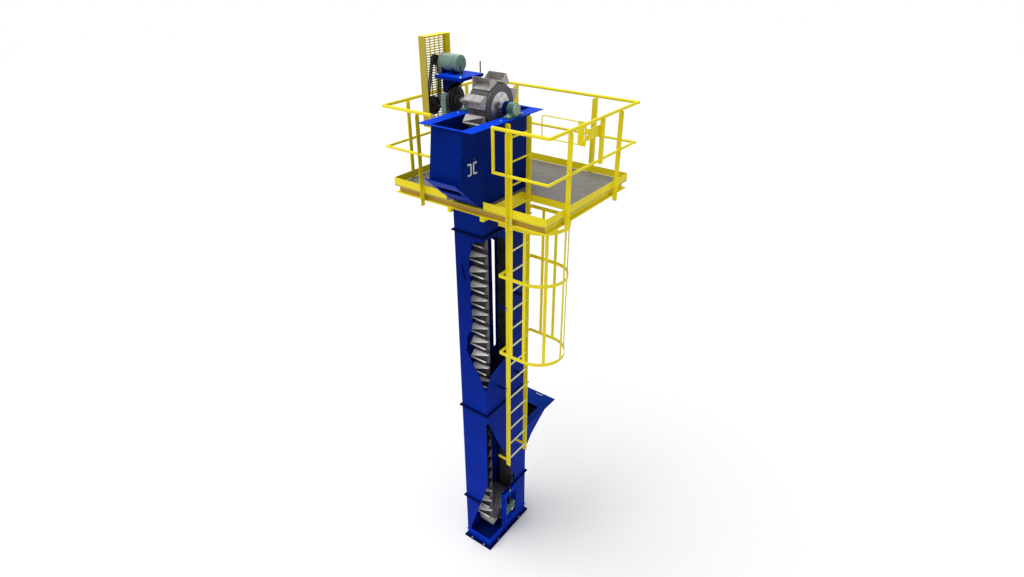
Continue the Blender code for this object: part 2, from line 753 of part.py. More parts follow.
def bucket_mesh():
    """One bucket: x across, y outward from the belt, z along the travel, with an open mouth."""
    outline = (
        (0.0, 0.0), (BUCKET_FOOT, 0.0), (BUCKET_REACH, BUCKET_FRONT), (0.0, BUCKET_BACK),
    )
    mesh_data = extrusion(outline, "x", (-BUCKET_HALF_WIDTH, BUCKET_HALF_WIDTH))
    bmesh.ops.recalc_face_normals(mesh_data, faces=mesh_data.faces)
    mesh_data.faces.ensure_lookup_table()
    mouth = [face for face in mesh_data.faces if face.normal.z > 0.3 and face.normal.y > 0.3]
    bmesh.ops.delete(mesh_data, geom=mouth, context="FACES")
    sheet = place("bucket_form", mesh_data, None, CUTTERS)
    thick = sheet.modifiers.new("sheet", "SOLIDIFY")
    thick.thickness = BUCKET_SHEET
    thick.offset = -1.0
    thick.use_even_offset = True
    graph = bpy.context.evaluated_depsgraph_get()
    data = bpy.data.meshes.new_from_object(sheet.evaluated_get(graph))
    bpy.data.objects.remove(sheet, do_unlink=True)
    return data


def belt_mesh():
    """The flat belt as one closed loop round both pulleys."""
    mesh_data = bmesh.new()
    turns = [math.pi * step / BELT_ARC_STEPS for step in range(BELT_ARC_STEPS + 1)]
    line = [(math.cos(t), math.sin(t), HEAD_AXIS_Z) for t in turns]
    line += [(-math.cos(t), -math.sin(t), TAIL_AXIS_Z) for t in turns]
    loops = []
    for y, z, axis_z in line:
        ring = []
        for radius, x in (
            (BELT_INNER, -BELT_HALF_WIDTH), (BELT_INNER, BELT_HALF_WIDTH),
            (BELT_OUTER, BELT_HALF_WIDTH), (BELT_OUTER, -BELT_HALF_WIDTH),
        ):
            ring.append(mesh_data.verts.new((x, radius * y, axis_z + radius * z)))
        loops.append(ring)
    for index, here in enumerate(loops):
        after = loops[(index + 1) % len(loops)]
        for step in range(4):
            ahead = (step + 1) % 4
            mesh_data.faces.new((here[step], after[step], after[ahead], here[ahead]))
    return mesh_data


def make_bucket_belt(finish):
    belt = place("bucket_belt", belt_mesh(), finish)
    form = bucket_mesh()
    total = 2 * (HEAD_AXIS_Z - TAIL_AXIS_Z + math.pi * BELT_OUTER)
    lead = HEAD_AXIS_Z - TAIL_AXIS_Z + math.radians(BUCKET_LEAD_ANGLE) * BELT_OUTER
    buckets = bmesh.new()
    for index in range(BUCKET_COUNT):
        spot, out, travel = loop_point(lead + index * total / BUCKET_COUNT)
        base_y = spot[0] - out[0] * BUCKET_SINK - travel[0] * BUCKET_BACK / 2
        base_z = spot[1] - out[1] * BUCKET_SINK - travel[1] * BUCKET_BACK / 2
        turn = Matrix((
            (1.0, 0.0, 0.0, 0.0),
            (0.0, out[0], travel[0], base_y),
            (0.0, out[1], travel[1], base_z),
            (0.0, 0.0, 0.0, 1.0),
        ))
        copy = form.copy()
        copy.transform(turn)
        buckets.from_mesh(copy)
        bpy.data.meshes.remove(copy)
    bpy.data.meshes.remove(form)
    combine(belt, buckets, "UNION", "buckets")


def pulley_profile(bore):
    """Half section of a drum with recessed end discs, hub and bore, as (radius, x) points."""
    half = PULLEY_HALF_WIDTH
    disc = half - PULLEY_DISC_INSET
    inner = PULLEY_RADIUS - PULLEY_RIM
    hub = half + 0.012
    right = [(bore, hub), (PULLEY_HUB_RADIUS, hub), (PULLEY_HUB_RADIUS, disc), (inner, disc)]
    right += [(inner, half), (PULLEY_RADIUS, half)]
    left = [(radius, -along) for radius, along in reversed(right)]
    return right + left


def shaft(name, radius, left_x, right_x, finish, centre):
    mesh_data = bmesh.new()
    add_rod(mesh_data, radius, (left_x, right_x), "x", centre)
    return place(name, mesh_data, finish)


def make_pulleys(finish):
    shaft("head_shaft", HEAD_SHAFT_RADIUS, HEAD_SHAFT_LEFT_X, HEAD_SHAFT_RIGHT_X, finish["steel"],
          (0.0, HEAD_AXIS_Z))
    shaft("tail_shaft", TAIL_SHAFT_RADIUS, -TAIL_SHAFT_HALF, TAIL_SHAFT_HALF, finish["steel"],
          (0.0, TAIL_AXIS_Z))
    turned("head_pulley", pulley_profile(HEAD_SHAFT_RADIUS + 2 * SEAT_GAP), finish["steel"],
           (0.0, HEAD_AXIS_Z), PULLEY_STEPS)
    turned("tail_pulley", pulley_profile(TAIL_SHAFT_RADIUS + 2 * SEAT_GAP), finish["steel"],
           (0.0, TAIL_AXIS_Z), PULLEY_STEPS)


def make_head_bearings(finish):
    for side, label in ((1, "right"), (-1, "left")):
        low = HEAD_TOP_Z + SEAT_GAP + OVERLAP
        span = sorted((side * BEARING_NEAR_X, side * BEARING_FAR_X))
        foot = boxes((
            span, (-BEARING_FOOT_HALF_Y, BEARING_FOOT_HALF_Y), (low, low + BEARING_FOOT_HIGH),
        ))
        bearing = place(f"head_bearing_{label}", foot, finish)
        inner = sorted((side * (BEARING_NEAR_X + 0.004), side * (BEARING_FAR_X - 0.004)))
        seal = sorted((side * SHAFT_SEAL_X, side * (BEARING_NEAR_X + 2 * 0.004)))
        body = rods((BEARING_RADIUS, inner, "x", (0.0, HEAD_AXIS_Z)))
        ring = rods((SHAFT_SEAL_RADIUS, seal, "x", (0.0, HEAD_AXIS_Z)))
        combine(bearing, merged(body, ring), "UNION", "housing", True)
        reach = sorted((side * (SHAFT_SEAL_X - 0.02), side * (BEARING_FAR_X + 0.02)))
        bore = rods((HEAD_SHAFT_RADIUS + BORE_GAP, reach, "x", (0.0, HEAD_AXIS_Z)))
        combine(bearing, bore, "DIFFERENCE", "bore")


def make_take_ups(finish):
    for side, label in ((1, "right"), (-1, "left")):
        near = side * (CASING_X + SEAT_GAP)
        far = side * (CASING_X + TAKE_UP_OUT)
        span = sorted((near, far))
        bar = TAKE_UP_BAR_Y / 2
        guides = boxes(
            (span, (-TAKE_UP_HALF_Y - bar, -TAKE_UP_HALF_Y + bar), (TAKE_UP_LOW_Z, TAKE_UP_TOP_Z)),
            (span, (TAKE_UP_HALF_Y - bar, TAKE_UP_HALF_Y + bar), (TAKE_UP_LOW_Z, TAKE_UP_TOP_Z)),
        )
        frame = place(f"take_up_frame_{label}", guides, finish["blue"])
        cross = (-TAKE_UP_HALF_Y - bar + OVERLAP, TAKE_UP_HALF_Y + bar - OVERLAP)
        beam_span = sorted((near + side * OVERLAP, far - side * OVERLAP))
        beams = boxes(
            (beam_span, cross, (TAKE_UP_LOW_Z - OVERLAP, TAKE_UP_LOW_Z + TAKE_UP_BEAM)),
            (beam_span, cross, (TAKE_UP_TOP_Z - TAKE_UP_BEAM, TAKE_UP_TOP_Z + OVERLAP)),
        )
        combine(frame, beams, "UNION", "beams")
        middle = side * (CASING_X + TAKE_UP_MID)
        hole_radius = TAKE_UP_SCREW_RADIUS + SEAT_GAP
        hole = rods((hole_radius, (TAKE_UP_TOP_Z - 0.1, TAKE_UP_TOP_Z + 0.1), "z", (middle, 0.0)), steps=16)
        combine(frame, hole, "DIFFERENCE", "screw_hole")
        half = TAKE_UP_HALF_Y - bar - SEAT_GAP
        block_span = (middle - TAKE_UP_BLOCK_THICK / 2, middle + TAKE_UP_BLOCK_THICK / 2)
        high = (TAIL_AXIS_Z - TAKE_UP_BLOCK_HALF_Z, TAIL_AXIS_Z + TAKE_UP_BLOCK_HALF_Z)
        block = place(f"tail_bearing_{label}", boxes((block_span, (-half, half), high)), finish["green"])
        bore_span = (block_span[0] - 0.02, block_span[1] + 0.02)
        bore = rods((TAIL_SHAFT_RADIUS + BORE_GAP, bore_span, "x", (0.0, TAIL_AXIS_Z)))
        combine(block, bore, "DIFFERENCE", "bore")
        screw = rods((TAKE_UP_SCREW_RADIUS, (high[1] + SEAT_GAP, TAKE_UP_SCREW_TOP_Z), "z", (middle, 0.0)),
                     steps=16)
        place(f"take_up_screw_{label}", screw, finish["steel"])


# Drive
def make_reducer(finish):
    """A flat gear case with rounded corners, round the head shaft and the input shaft."""
    outline = []
    centre_z = (REDUCER_LOW_Z + REDUCER_TOP_Z) / 2
    half_z = (REDUCER_TOP_Z - REDUCER_LOW_Z) / 2 - REDUCER_CORNER
    half_y = REDUCER_HALF_Y - REDUCER_CORNER
    for quarter, (sign_y, sign_z) in enumerate(((1, 1), (-1, 1), (-1, -1), (1, -1))):
        for step in range(7):
            angle = math.radians(90 * quarter + 15 * step)
            y = sign_y * half_y + REDUCER_CORNER * math.cos(angle)
            z = centre_z + sign_z * half_z + REDUCER_CORNER * math.sin(angle)
            outline.append((y, z))
    case = extrusion(outline, "x", (REDUCER_LEFT_X, REDUCER_RIGHT_X))
    reducer = place("gear_reducer", case, finish["green"])
    foot_z = DRIVE_BEAM_Z + SEAT_GAP + DRIVE_SEAT_THICK
    foot = boxes((
        (REDUCER_LEFT_X + OVERLAP, REDUCER_RIGHT_X - OVERLAP),
        (-REDUCER_FOOT_HALF_Y, REDUCER_FOOT_HALF_Y), (foot_z, foot_z + REDUCER_FOOT_HIGH),
    ))
    combine(reducer, foot, "UNION", "foot")
    bore = rods((
        HEAD_SHAFT_RADIUS + BORE_GAP, (HEAD_SHAFT_LEFT_X - BORE_GAP * 2, REDUCER_RIGHT_X + 0.02), "x",
        (0.0, HEAD_AXIS_Z),
    ))
    combine(reducer, bore, "DIFFERENCE", "bore")
    input_bore = rods((
        INPUT_SHAFT_RADIUS + BORE_GAP, (REDUCER_LEFT_X - 0.02, REDUCER_LEFT_X + BORE_DEPTH), "x",
        (INPUT_SHAFT_Y, INPUT_SHAFT_Z),
    ))
    combine(reducer, input_bore, "DIFFERENCE", "input_bore")


def make_coupling(finish):
    bore = HEAD_SHAFT_RADIUS + 2 * SEAT_GAP
    left = REDUCER_RIGHT_X + RUNNING_GAP
    ring = left + COUPLING_RING_LENGTH
    wide = left + COUPLING_LENGTH
    right = wide + COUPLING_NECK_LENGTH
    profile = [
        (bore, right), (COUPLING_NECK_RADIUS, right), (COUPLING_NECK_RADIUS, wide),
        (COUPLING_RADIUS, wide), (COUPLING_RADIUS, ring), (COUPLING_RING_RADIUS, ring),
        (COUPLING_RING_RADIUS, left), (bore, left),
    ]
    turned("shaft_coupling", profile, finish["dark"], (0.0, HEAD_AXIS_Z))


def sheave_profile(radius, shaft_radius, shaft_tip):
    """A grooved sheave with its own stub shaft to the right, as (radius, x) points."""
    left = SHEAVE_X - SHEAVE_HALF_WIDTH
    right = SHEAVE_X + SHEAVE_HALF_WIDTH
    groove = 0.006
    rim = [(radius, right)]
    count = 3
    pitch = 2 * SHEAVE_HALF_WIDTH / count
    for index in range(count):
        start = right - index * pitch
        rim += [(radius, start - 0.15 * pitch), (radius - groove, start - 0.5 * pitch)]
    rim += [(radius, left + 0.15 * pitch), (radius, left)]
    return [(0.0, shaft_tip), (shaft_radius, shaft_tip), (shaft_radius, right)] + rim + [(0.0, left)]


def make_sheave(name, radius, shaft_radius, shaft_tip, finish, centre):
    turned(name, sheave_profile(radius, shaft_radius, shaft_tip), finish, centre, SHEAVE_STEPS, True)


def make_belt_drive(finish):
    make_sheave("driven_sheave", DRIVEN_SHEAVE_RADIUS, INPUT_SHAFT_RADIUS, REDUCER_LEFT_X + STUB_DEPTH,
                finish["dark"], (INPUT_SHAFT_Y, INPUT_SHAFT_Z))
    motor_left = MOTOR_RIGHT_X - MOTOR_LENGTH
    make_sheave("motor_sheave", MOTOR_SHEAVE_RADIUS, MOTOR_SHAFT_RADIUS, motor_left + STUB_DEPTH,
                finish["dark"], (0.0, MOTOR_AXIS_Z))
    inner_low = DRIVEN_SHEAVE_RADIUS + BELT_GAP
    inner_high = MOTOR_SHEAVE_RADIUS + BELT_GAP
    gap = math.hypot(INPUT_SHAFT_Y, MOTOR_AXIS_Z - INPUT_SHAFT_Z)
    lean = math.atan2(MOTOR_AXIS_Z - INPUT_SHAFT_Z, -INPUT_SHAFT_Y)
    spread = math.acos((inner_low - inner_high) / gap)
    mesh_data = bmesh.new()
    loops = []
    count = BELT_ARC_STEPS
    for step in range(2 * count + 2):
        if step <= count:
            angle = lean + spread - 2 * spread * step / count
            centre = (0.0, MOTOR_AXIS_Z, inner_high)
        else:
            angle = lean - spread - (math.tau - 2 * spread) * (step - count - 1) / count
            centre = (INPUT_SHAFT_Y, INPUT_SHAFT_Z, inner_low)
        ring = []
        for extra, x in ((0.0, -1), (0.0, 1), (V_BELT_THICK, 1), (V_BELT_THICK, -1)):
            radius = centre[2] + extra
            spot_x = SHEAVE_X + x * (SHEAVE_HALF_WIDTH - 0.004)
            spot = (spot_x, centre[0] + radius * math.cos(angle), centre[1] + radius * math.sin(angle))
            ring.append(mesh_data.verts.new(spot))
        loops.append(ring)
    for index, here in enumerate(loops):
        after = loops[(index + 1) % len(loops)]
        for side in range(4):
            ahead = (side + 1) % 4
            mesh_data.faces.new((here[side], after[side], after[ahead], here[ahead]))
    place("v_belts", mesh_data, finish["dark"])


def make_motor(finish):
    left = MOTOR_RIGHT_X - MOTOR_LENGTH
    body = rods((MOTOR_RADIUS, (left, MOTOR_RIGHT_X), "x", (0.0, MOTOR_AXIS_Z)))
    motor = place("motor", body, finish["green"])
    foot_z = MOTOR_PLATE_TOP_Z + SEAT_GAP
    feet = boxes((
        (left + MOTOR_FOOT_INSET, MOTOR_RIGHT_X - MOTOR_FOOT_INSET),
        (-MOTOR_FOOT_HALF_Y, MOTOR_FOOT_HALF_Y), (foot_z, foot_z + MOTOR_FOOT_HIGH),
    ))
    combine(motor, feet, "UNION", "feet")
    bore = rods((MOTOR_SHAFT_RADIUS + BORE_GAP, (left - 0.02, left + BORE_DEPTH), "x", (0.0, MOTOR_AXIS_Z)))
    combine(motor, bore, "DIFFERENCE", "shaft_bore")


def make_motor_plate(finish):
    """A folded plate whose four threaded rods set the belt tension."""
    xs = (MOTOR_PLATE_LEFT_X, MOTOR_PLATE_RIGHT_X)
    ys = (-MOTOR_PLATE_HALF_Y, MOTOR_PLATE_HALF_Y)
    low = MOTOR_PLATE_TOP_Z - MOTOR_PLATE_DEEP
    plate = place("motor_plate", boxes((xs, ys, (low, MOTOR_PLATE_TOP_Z))), finish["blue"])
    sheet = MOTOR_PLATE_SHEET
    hollow = boxes((
        (xs[0] + sheet, xs[1] - sheet), (ys[0] + sheet, ys[1] - sheet),
        (low - 0.02, MOTOR_PLATE_TOP_Z - sheet),
    ))
    combine(plate, hollow, "DIFFERENCE", "underside")
    corners = [
        (x, y) for x in (xs[0] + ROD_INSET, xs[1] - ROD_INSET) for y in (ys[0] + ROD_INSET, ys[1] - ROD_INSET)
    ]
    specs = [(ROD_RADIUS, (ROD_LOW_Z, ROD_TOP_Z), "z", corner) for corner in corners]
    combine(plate, rods(*specs, steps=12), "UNION", "rods")


def make_motor_stand(finish):
    """Two tapered gussets on the gear case that carry the motor plate, tied by a foot and a web."""
    low = REDUCER_TOP_Z + SEAT_GAP
    top = MOTOR_PLATE_TOP_Z - MOTOR_PLATE_SHEET - SEAT_GAP
    left, right = REDUCER_LEFT_X + 2 * OVERLAP, REDUCER_RIGHT_X - 2 * OVERLAP
    foot = boxes(((left, right), (-STAND_HALF_Y, STAND_HALF_Y), (low, low + STAND_SHEET)))
    stand = place("motor_stand", foot, finish["blue"])
    mid = low + STAND_SHEET / 2
    inset = OVERLAP
    outline = (
        (left + inset, mid), (right - inset, mid), (right - inset, STAND_NECK_Z),
        (STAND_WIDE_X, top), (left + inset, top),
    )
    outer = STAND_HALF_Y - inset
    inner = STAND_HALF_Y - STAND_SHEET
    web = boxes((
        (left + 2 * inset, left + STAND_SHEET), (-outer + inset, outer - inset),
        (mid + inset, top - STAND_SHEET),
    ))
    gussets = merged(extrusion(outline, "y", (-outer, -inner)), extrusion(outline, "y", (inner, outer)), web)
    combine(stand, gussets, "UNION", "gussets", True)


def make_drive_seat(finish):
    """Two beams from the head's left wall, with a plate under the gear case and a bar for the guard."""
    right = -(CASING_X + SEAT_GAP)
    left = GUARD_RIGHT_X + SEAT_GAP
    deep = (DRIVE_BEAM_Z - DRIVE_BEAM_DEEP, DRIVE_BEAM_Z)
    half = DRIVE_BEAM_WIDE / 2
    beams = boxes(
        ((left + OVERLAP, right), (DRIVE_BEAM_Y - half, DRIVE_BEAM_Y + half), deep),
        ((left + OVERLAP, right), (-DRIVE_BEAM_Y - half, -DRIVE_BEAM_Y + half), deep),
    )
    seat = place("drive_seat", beams, finish["blue"])
    plates = boxes(
        (
            (REDUCER_LEFT_X - DRIVE_SEAT_MARGIN, REDUCER_RIGHT_X + DRIVE_SEAT_MARGIN),
            (-DRIVE_SEAT_HALF_Y, DRIVE_SEAT_HALF_Y),
            (DRIVE_BEAM_Z - OVERLAP, DRIVE_BEAM_Z + DRIVE_SEAT_THICK),
        ),
        (
            (left, left + DRIVE_SEAT_THICK), (-GUARD_HALF_Y, GUARD_HALF_Y),
            (GUARD_LOW_Z + GUARD_BORDER, DRIVE_BEAM_Z - 2 * OVERLAP),
        ),
    )
    combine(seat, plates, "UNION", "plates", True)


def make_guard(finish):
    """An open-sided box over the belts, with slots through its outer sheet."""
    mesh_data = bmesh.new()
    inner_y = GUARD_HALF_Y - GUARD_BORDER
    inner_z = (GUARD_LOW_Z + GUARD_BORDER, GUARD_TOP_Z - GUARD_BORDER)
    edge_y = GUARD_HALF_Y - GUARD_SHEET / 2
    edge_z = (GUARD_LOW_Z + GUARD_SHEET / 2, GUARD_TOP_Z - GUARD_SHEET / 2)

    def lines(low, high, count, share, first, last):
        pitch = (high - low) / count
        marks = [first]
        for index in range(count):
            middle = low + (index + 0.5) * pitch
            marks += [middle - pitch * share / 2, middle + pitch * share / 2]
        return marks + [last]

    ys = lines(-inner_y, inner_y, GUARD_COLUMNS, GUARD_SLOT_SHARE_Y, -edge_y, edge_y)
    zs = lines(inner_z[0], inner_z[1], GUARD_ROWS, GUARD_SLOT_SHARE_Z, edge_z[0], edge_z[1])
    grid = [[mesh_data.verts.new((GUARD_LEFT_X, y, z)) for y in ys] for z in zs]
    for row in range(len(zs) - 1):
        for column in range(len(ys) - 1):
            if row % 2 == 1 and column % 2 == 1:
                continue
            here, after = grid[row], grid[row + 1]
            corners = (here[column], here[column + 1], after[column + 1], after[column])
            mesh_data.faces.new(corners)
    for face in mesh_data.faces:
        face.normal_update()
        if face.normal.x > 0:
            face.normal_flip()
    data = bpy.data.meshes.new("belt_guard")
    mesh_data.to_mesh(data)
    mesh_data.free()
    data.materials.append(finish)
    guard = bpy.data.objects.new("belt_guard", data)
    collection(PARTS).objects.link(guard)
    sheet = guard.modifiers.new("sheet", "SOLIDIFY")
    sheet.thickness = GUARD_SHEET
    sheet.offset = -1.0
    middle_z = (GUARD_LOW_Z + GUARD_TOP_Z) / 2
    half_z = (GUARD_TOP_Z - GUARD_LOW_Z) / 2
    span = (GUARD_LEFT_X + OVERLAP, GUARD_RIGHT_X)
    profile = ((0.0, span[0]), (0.0, span[1]), (-GUARD_SHEET, span[1]), (-GUARD_SHEET, span[0]))
    rim = rectangle_sweep((0, 0), half_z, GUARD_HALF_Y, profile)
    rim.transform(Matrix.Translation((0.0, 0.0, middle_z)) @ TURN["x"])
    combine(guard, rim, "UNION", "rim")


# Platform
def make_platform_frame(finish):
    low = FRAME_TOP_Z - CHANNEL_HIGH
    web = -(CHANNEL_WIDE + CHANNEL_WEB)
    sheet = CHANNEL_WEB
    profile = (
        (web, low), (0.0, low), (0.0, low + sheet), (web + sheet, low + sheet),
        (web + sheet, FRAME_TOP_Z - sheet), (0.0, FRAME_TOP_Z - sheet), (0.0, FRAME_TOP_Z),
        (web, FRAME_TOP_Z),
    )
    middle = (FRONT_TIP_Y + FRAME_BACK_Y) / 2
    half = (FRAME_BACK_Y - FRONT_TIP_Y) / 2
    place("platform_frame", rectangle_sweep((0, middle), FRAME_HALF_X, half, profile), finish)
    inner_x = FRAME_HALF_X + web - SEAT_GAP
    front = FRONT_TIP_Y - web + SEAT_GAP
    side = boxes((
        (OPENING_LEFT_X - TRIMMER_WIDE, OPENING_LEFT_X), (front, OPENING_BACK_Y + TRIMMER_WIDE),
        (low + 2 * SEAT_GAP, FRAME_TOP_Z),
    ))
    trim = place("opening_trimmer", side, finish)
    across = boxes((
        (OPENING_LEFT_X - OVERLAP, inner_x), (OPENING_BACK_Y, OPENING_BACK_Y + TRIMMER_WIDE - SEAT_GAP),
        (low + 3 * SEAT_GAP, FRAME_TOP_Z - SEAT_GAP),
    ))
    combine(trim, across, "UNION", "across")
    for index, y in enumerate(JOIST_YS):
        joist = boxes(
            ((-inner_x, inner_x), (y, y + sheet), (low + 2 * SEAT_GAP, FRAME_TOP_Z)),
        )
        made = place(f"deck_joist_{index + 1}", joist, finish)
        lips = boxes(
            ((-inner_x, inner_x), (y + sheet - OVERLAP, y + JOIST_WIDE), (low + 2 * SEAT_GAP, low + sheet)),
            ((-inner_x, inner_x), (y + sheet - OVERLAP, y + JOIST_WIDE), (FRAME_TOP_Z - sheet, FRAME_TOP_Z)),
        )
        combine(made, lips, "UNION", "lips")
    for side_sign, label in ((1, "right"), (-1, "left")):
        near = CASING_X + SEAT_GAP
        span = sorted((side_sign * near, side_sign * (near + SUPPORT_BEAM_WIDE)))
        high = (low - SEAT_GAP - SUPPORT_BEAM_HIGH, low - SEAT_GAP)
        back_y = FRAME_BACK_Y - CHANNEL_WIDE
        beam = boxes((span, (FRONT_TIP_Y, back_y), high))
        place(f"support_beam_{label}", beam, finish)


def make_deck(finish):
    reach_x = FRAME_HALF_X - DECK_EDGE
    front = FRONT_TIP_Y + DECK_EDGE
    back = FRAME_BACK_Y - DECK_EDGE
    top = DECK_LOW_Z + DECK_THICK
    plate = boxes(((-reach_x, reach_x), (front, back), (DECK_LOW_Z, top)))
    deck = place("deck", plate, finish)
    through = (DECK_LOW_Z - 0.05, top + 0.05)
    clear_x = CASING_X + RUNNING_GAP
    holes = boxes(
        ((-clear_x, clear_x), (front - 0.1, CASING_Y + RUNNING_GAP), through),
        ((OPENING_LEFT_X, OPENING_RIGHT_X), (front - 0.1, OPENING_BACK_Y), through),
    )
    combine(deck, holes, "DIFFERENCE", "openings")


def make_toe_board(finish):
    low = FRAME_TOP_Z + TOE_LOW
    high = low + TOE_HIGH
    profile = ((0.0, low), (0.0, high), (-TOE_SHEET, high), (-TOE_SHEET, low))
    middle = (FRONT_TIP_Y + FRAME_BACK_Y) / 2
    half = (FRAME_BACK_Y - FRONT_TIP_Y) / 2
    board = place("toe_board", rectangle_sweep((0, middle), FRAME_HALF_X, half, profile), finish)
    gateway = boxes((
        (-TOE_GATEWAY_X, TOE_GATEWAY_X), (FRONT_TIP_Y - 0.05, FRONT_TIP_Y + 0.05), (low - 0.05, high + 0.05),
    ))
    combine(board, gateway, "DIFFERENCE", "gateway")


def post_mesh(spot, out, along):
    """An angle post outside the frame: one leg stands out, the other lies along the toe board."""
    mesh_data = bmesh.new()
    top = RAIL_TOP_Z - RAIL_RADIUS + 0.006
    leg = POST_CHAMFER
    wide = (
        (0.0, POST_LOW_Z), (POST_WIDE, POST_LOW_Z), (POST_WIDE, top - leg),
        (POST_WIDE - leg * 0.6, top), (0.0, top),
    )
    low = POST_LOW_Z + OVERLAP
    near = POST_SHEET / 2
    under = top - POST_SHEET / 2
    flat = ((near, low), (POST_LEG, low), (POST_LEG, top - leg), (POST_LEG - leg, under), (near, under))
    add_extrusion(mesh_data, wide, "x", (0.0, POST_SHEET))
    flat_part = extrusion(flat, "y", (SEAT_GAP, POST_SHEET + SEAT_GAP))
    turn = Matrix((
        (along[0], out[0], 0.0, spot[0]), (along[1], out[1], 0.0, spot[1]),
        (0.0, 0.0, 1.0, 0.0), (0.0, 0.0, 0.0, 1.0),
    ))
    mesh_data.transform(turn)
    flat_part.transform(turn)
    return mesh_data, flat_part


def make_handrail(name, finish, path, posts, extra=()):
    """Top and middle rails along one path, with their posts and short uprights."""
    tops = tube([(x, y, RAIL_TOP_Z) for x, y in path], RAIL_RADIUS)
    middles = tube([(x, y, RAIL_MID_Z) for x, y in path], RAIL_RADIUS * RAIL_MID_SHARE)
    rail = place(name, merged(tops, middles), finish)
    stand = []
    for post in posts:
        stand += post_mesh(*post)
    combine(rail, merged(*stand, *extra), "UNION", "posts", True)


def make_handrails(finish):
    seat = RAIL_RADIUS + SEAT_GAP
    out_gap = SEAT_GAP
    left_path = (
        (-RAIL_X, RAIL_BACK_Y - seat), (-RAIL_X, RAIL_FRONT_Y), (RAIL_LEFT_END_X, RAIL_FRONT_Y),
    )
    right_path = (
        (RAIL_X, RAIL_BACK_Y - seat), (RAIL_X, RAIL_FRONT_Y), (RAIL_RIGHT_END_X, RAIL_FRONT_Y),
    )
    frame_left = -FRAME_HALF_X - out_gap
    frame_right = FRAME_HALF_X + out_gap
    front = FRONT_TIP_Y - out_gap
    back = FRAME_BACK_Y + out_gap
    left_posts = [((-POST_FRONT_X, front), (0, -1), (-1, 0))]
    left_posts += [((frame_left, y), (-1, 0), (0, -1)) for y in POST_SIDE_YS]
    right_posts = [((POST_FRONT_X, front), (0, -1), (1, 0))]
    right_posts += [((frame_right, y), (1, 0), (0, 1)) for y in POST_SIDE_YS]
    end_span = (RAIL_MID_Z - 0.005, RAIL_TOP_Z + 0.005)
    left_spot = (RAIL_LEFT_END_X - UPRIGHT_INSET, RAIL_FRONT_Y)
    right_spot = (RAIL_RIGHT_END_X + UPRIGHT_INSET, RAIL_FRONT_Y)
    left_end = rods((UPRIGHT_RADIUS, end_span, "z", left_spot), steps=12)
    right_end = rods((UPRIGHT_RADIUS, end_span, "z", right_spot), steps=12)
    half = GATE_POST_HALF
    gate_post = boxes((
        (RAIL_X - half, RAIL_X + half), (GATE_POST_Y - half, GATE_POST_Y + half),
        (RAIL_MID_Z - 0.05, RAIL_TOP_Z - 0.004),
    ))
    make_handrail("handrail_left", finish, left_path, left_posts, (left_end,))
    make_handrail("handrail_right", finish, right_path, right_posts, (right_end, gate_post))
    back_path = ((-RAIL_X - RAIL_RADIUS, RAIL_BACK_Y), (RAIL_X + RAIL_RADIUS, RAIL_BACK_Y))
    back_posts = [((x, back), (0, 1), (-1, 0)) for x in (-POST_BACK_X, POST_BACK_X)]
    make_handrail("handrail_back", finish, back_path, back_posts)


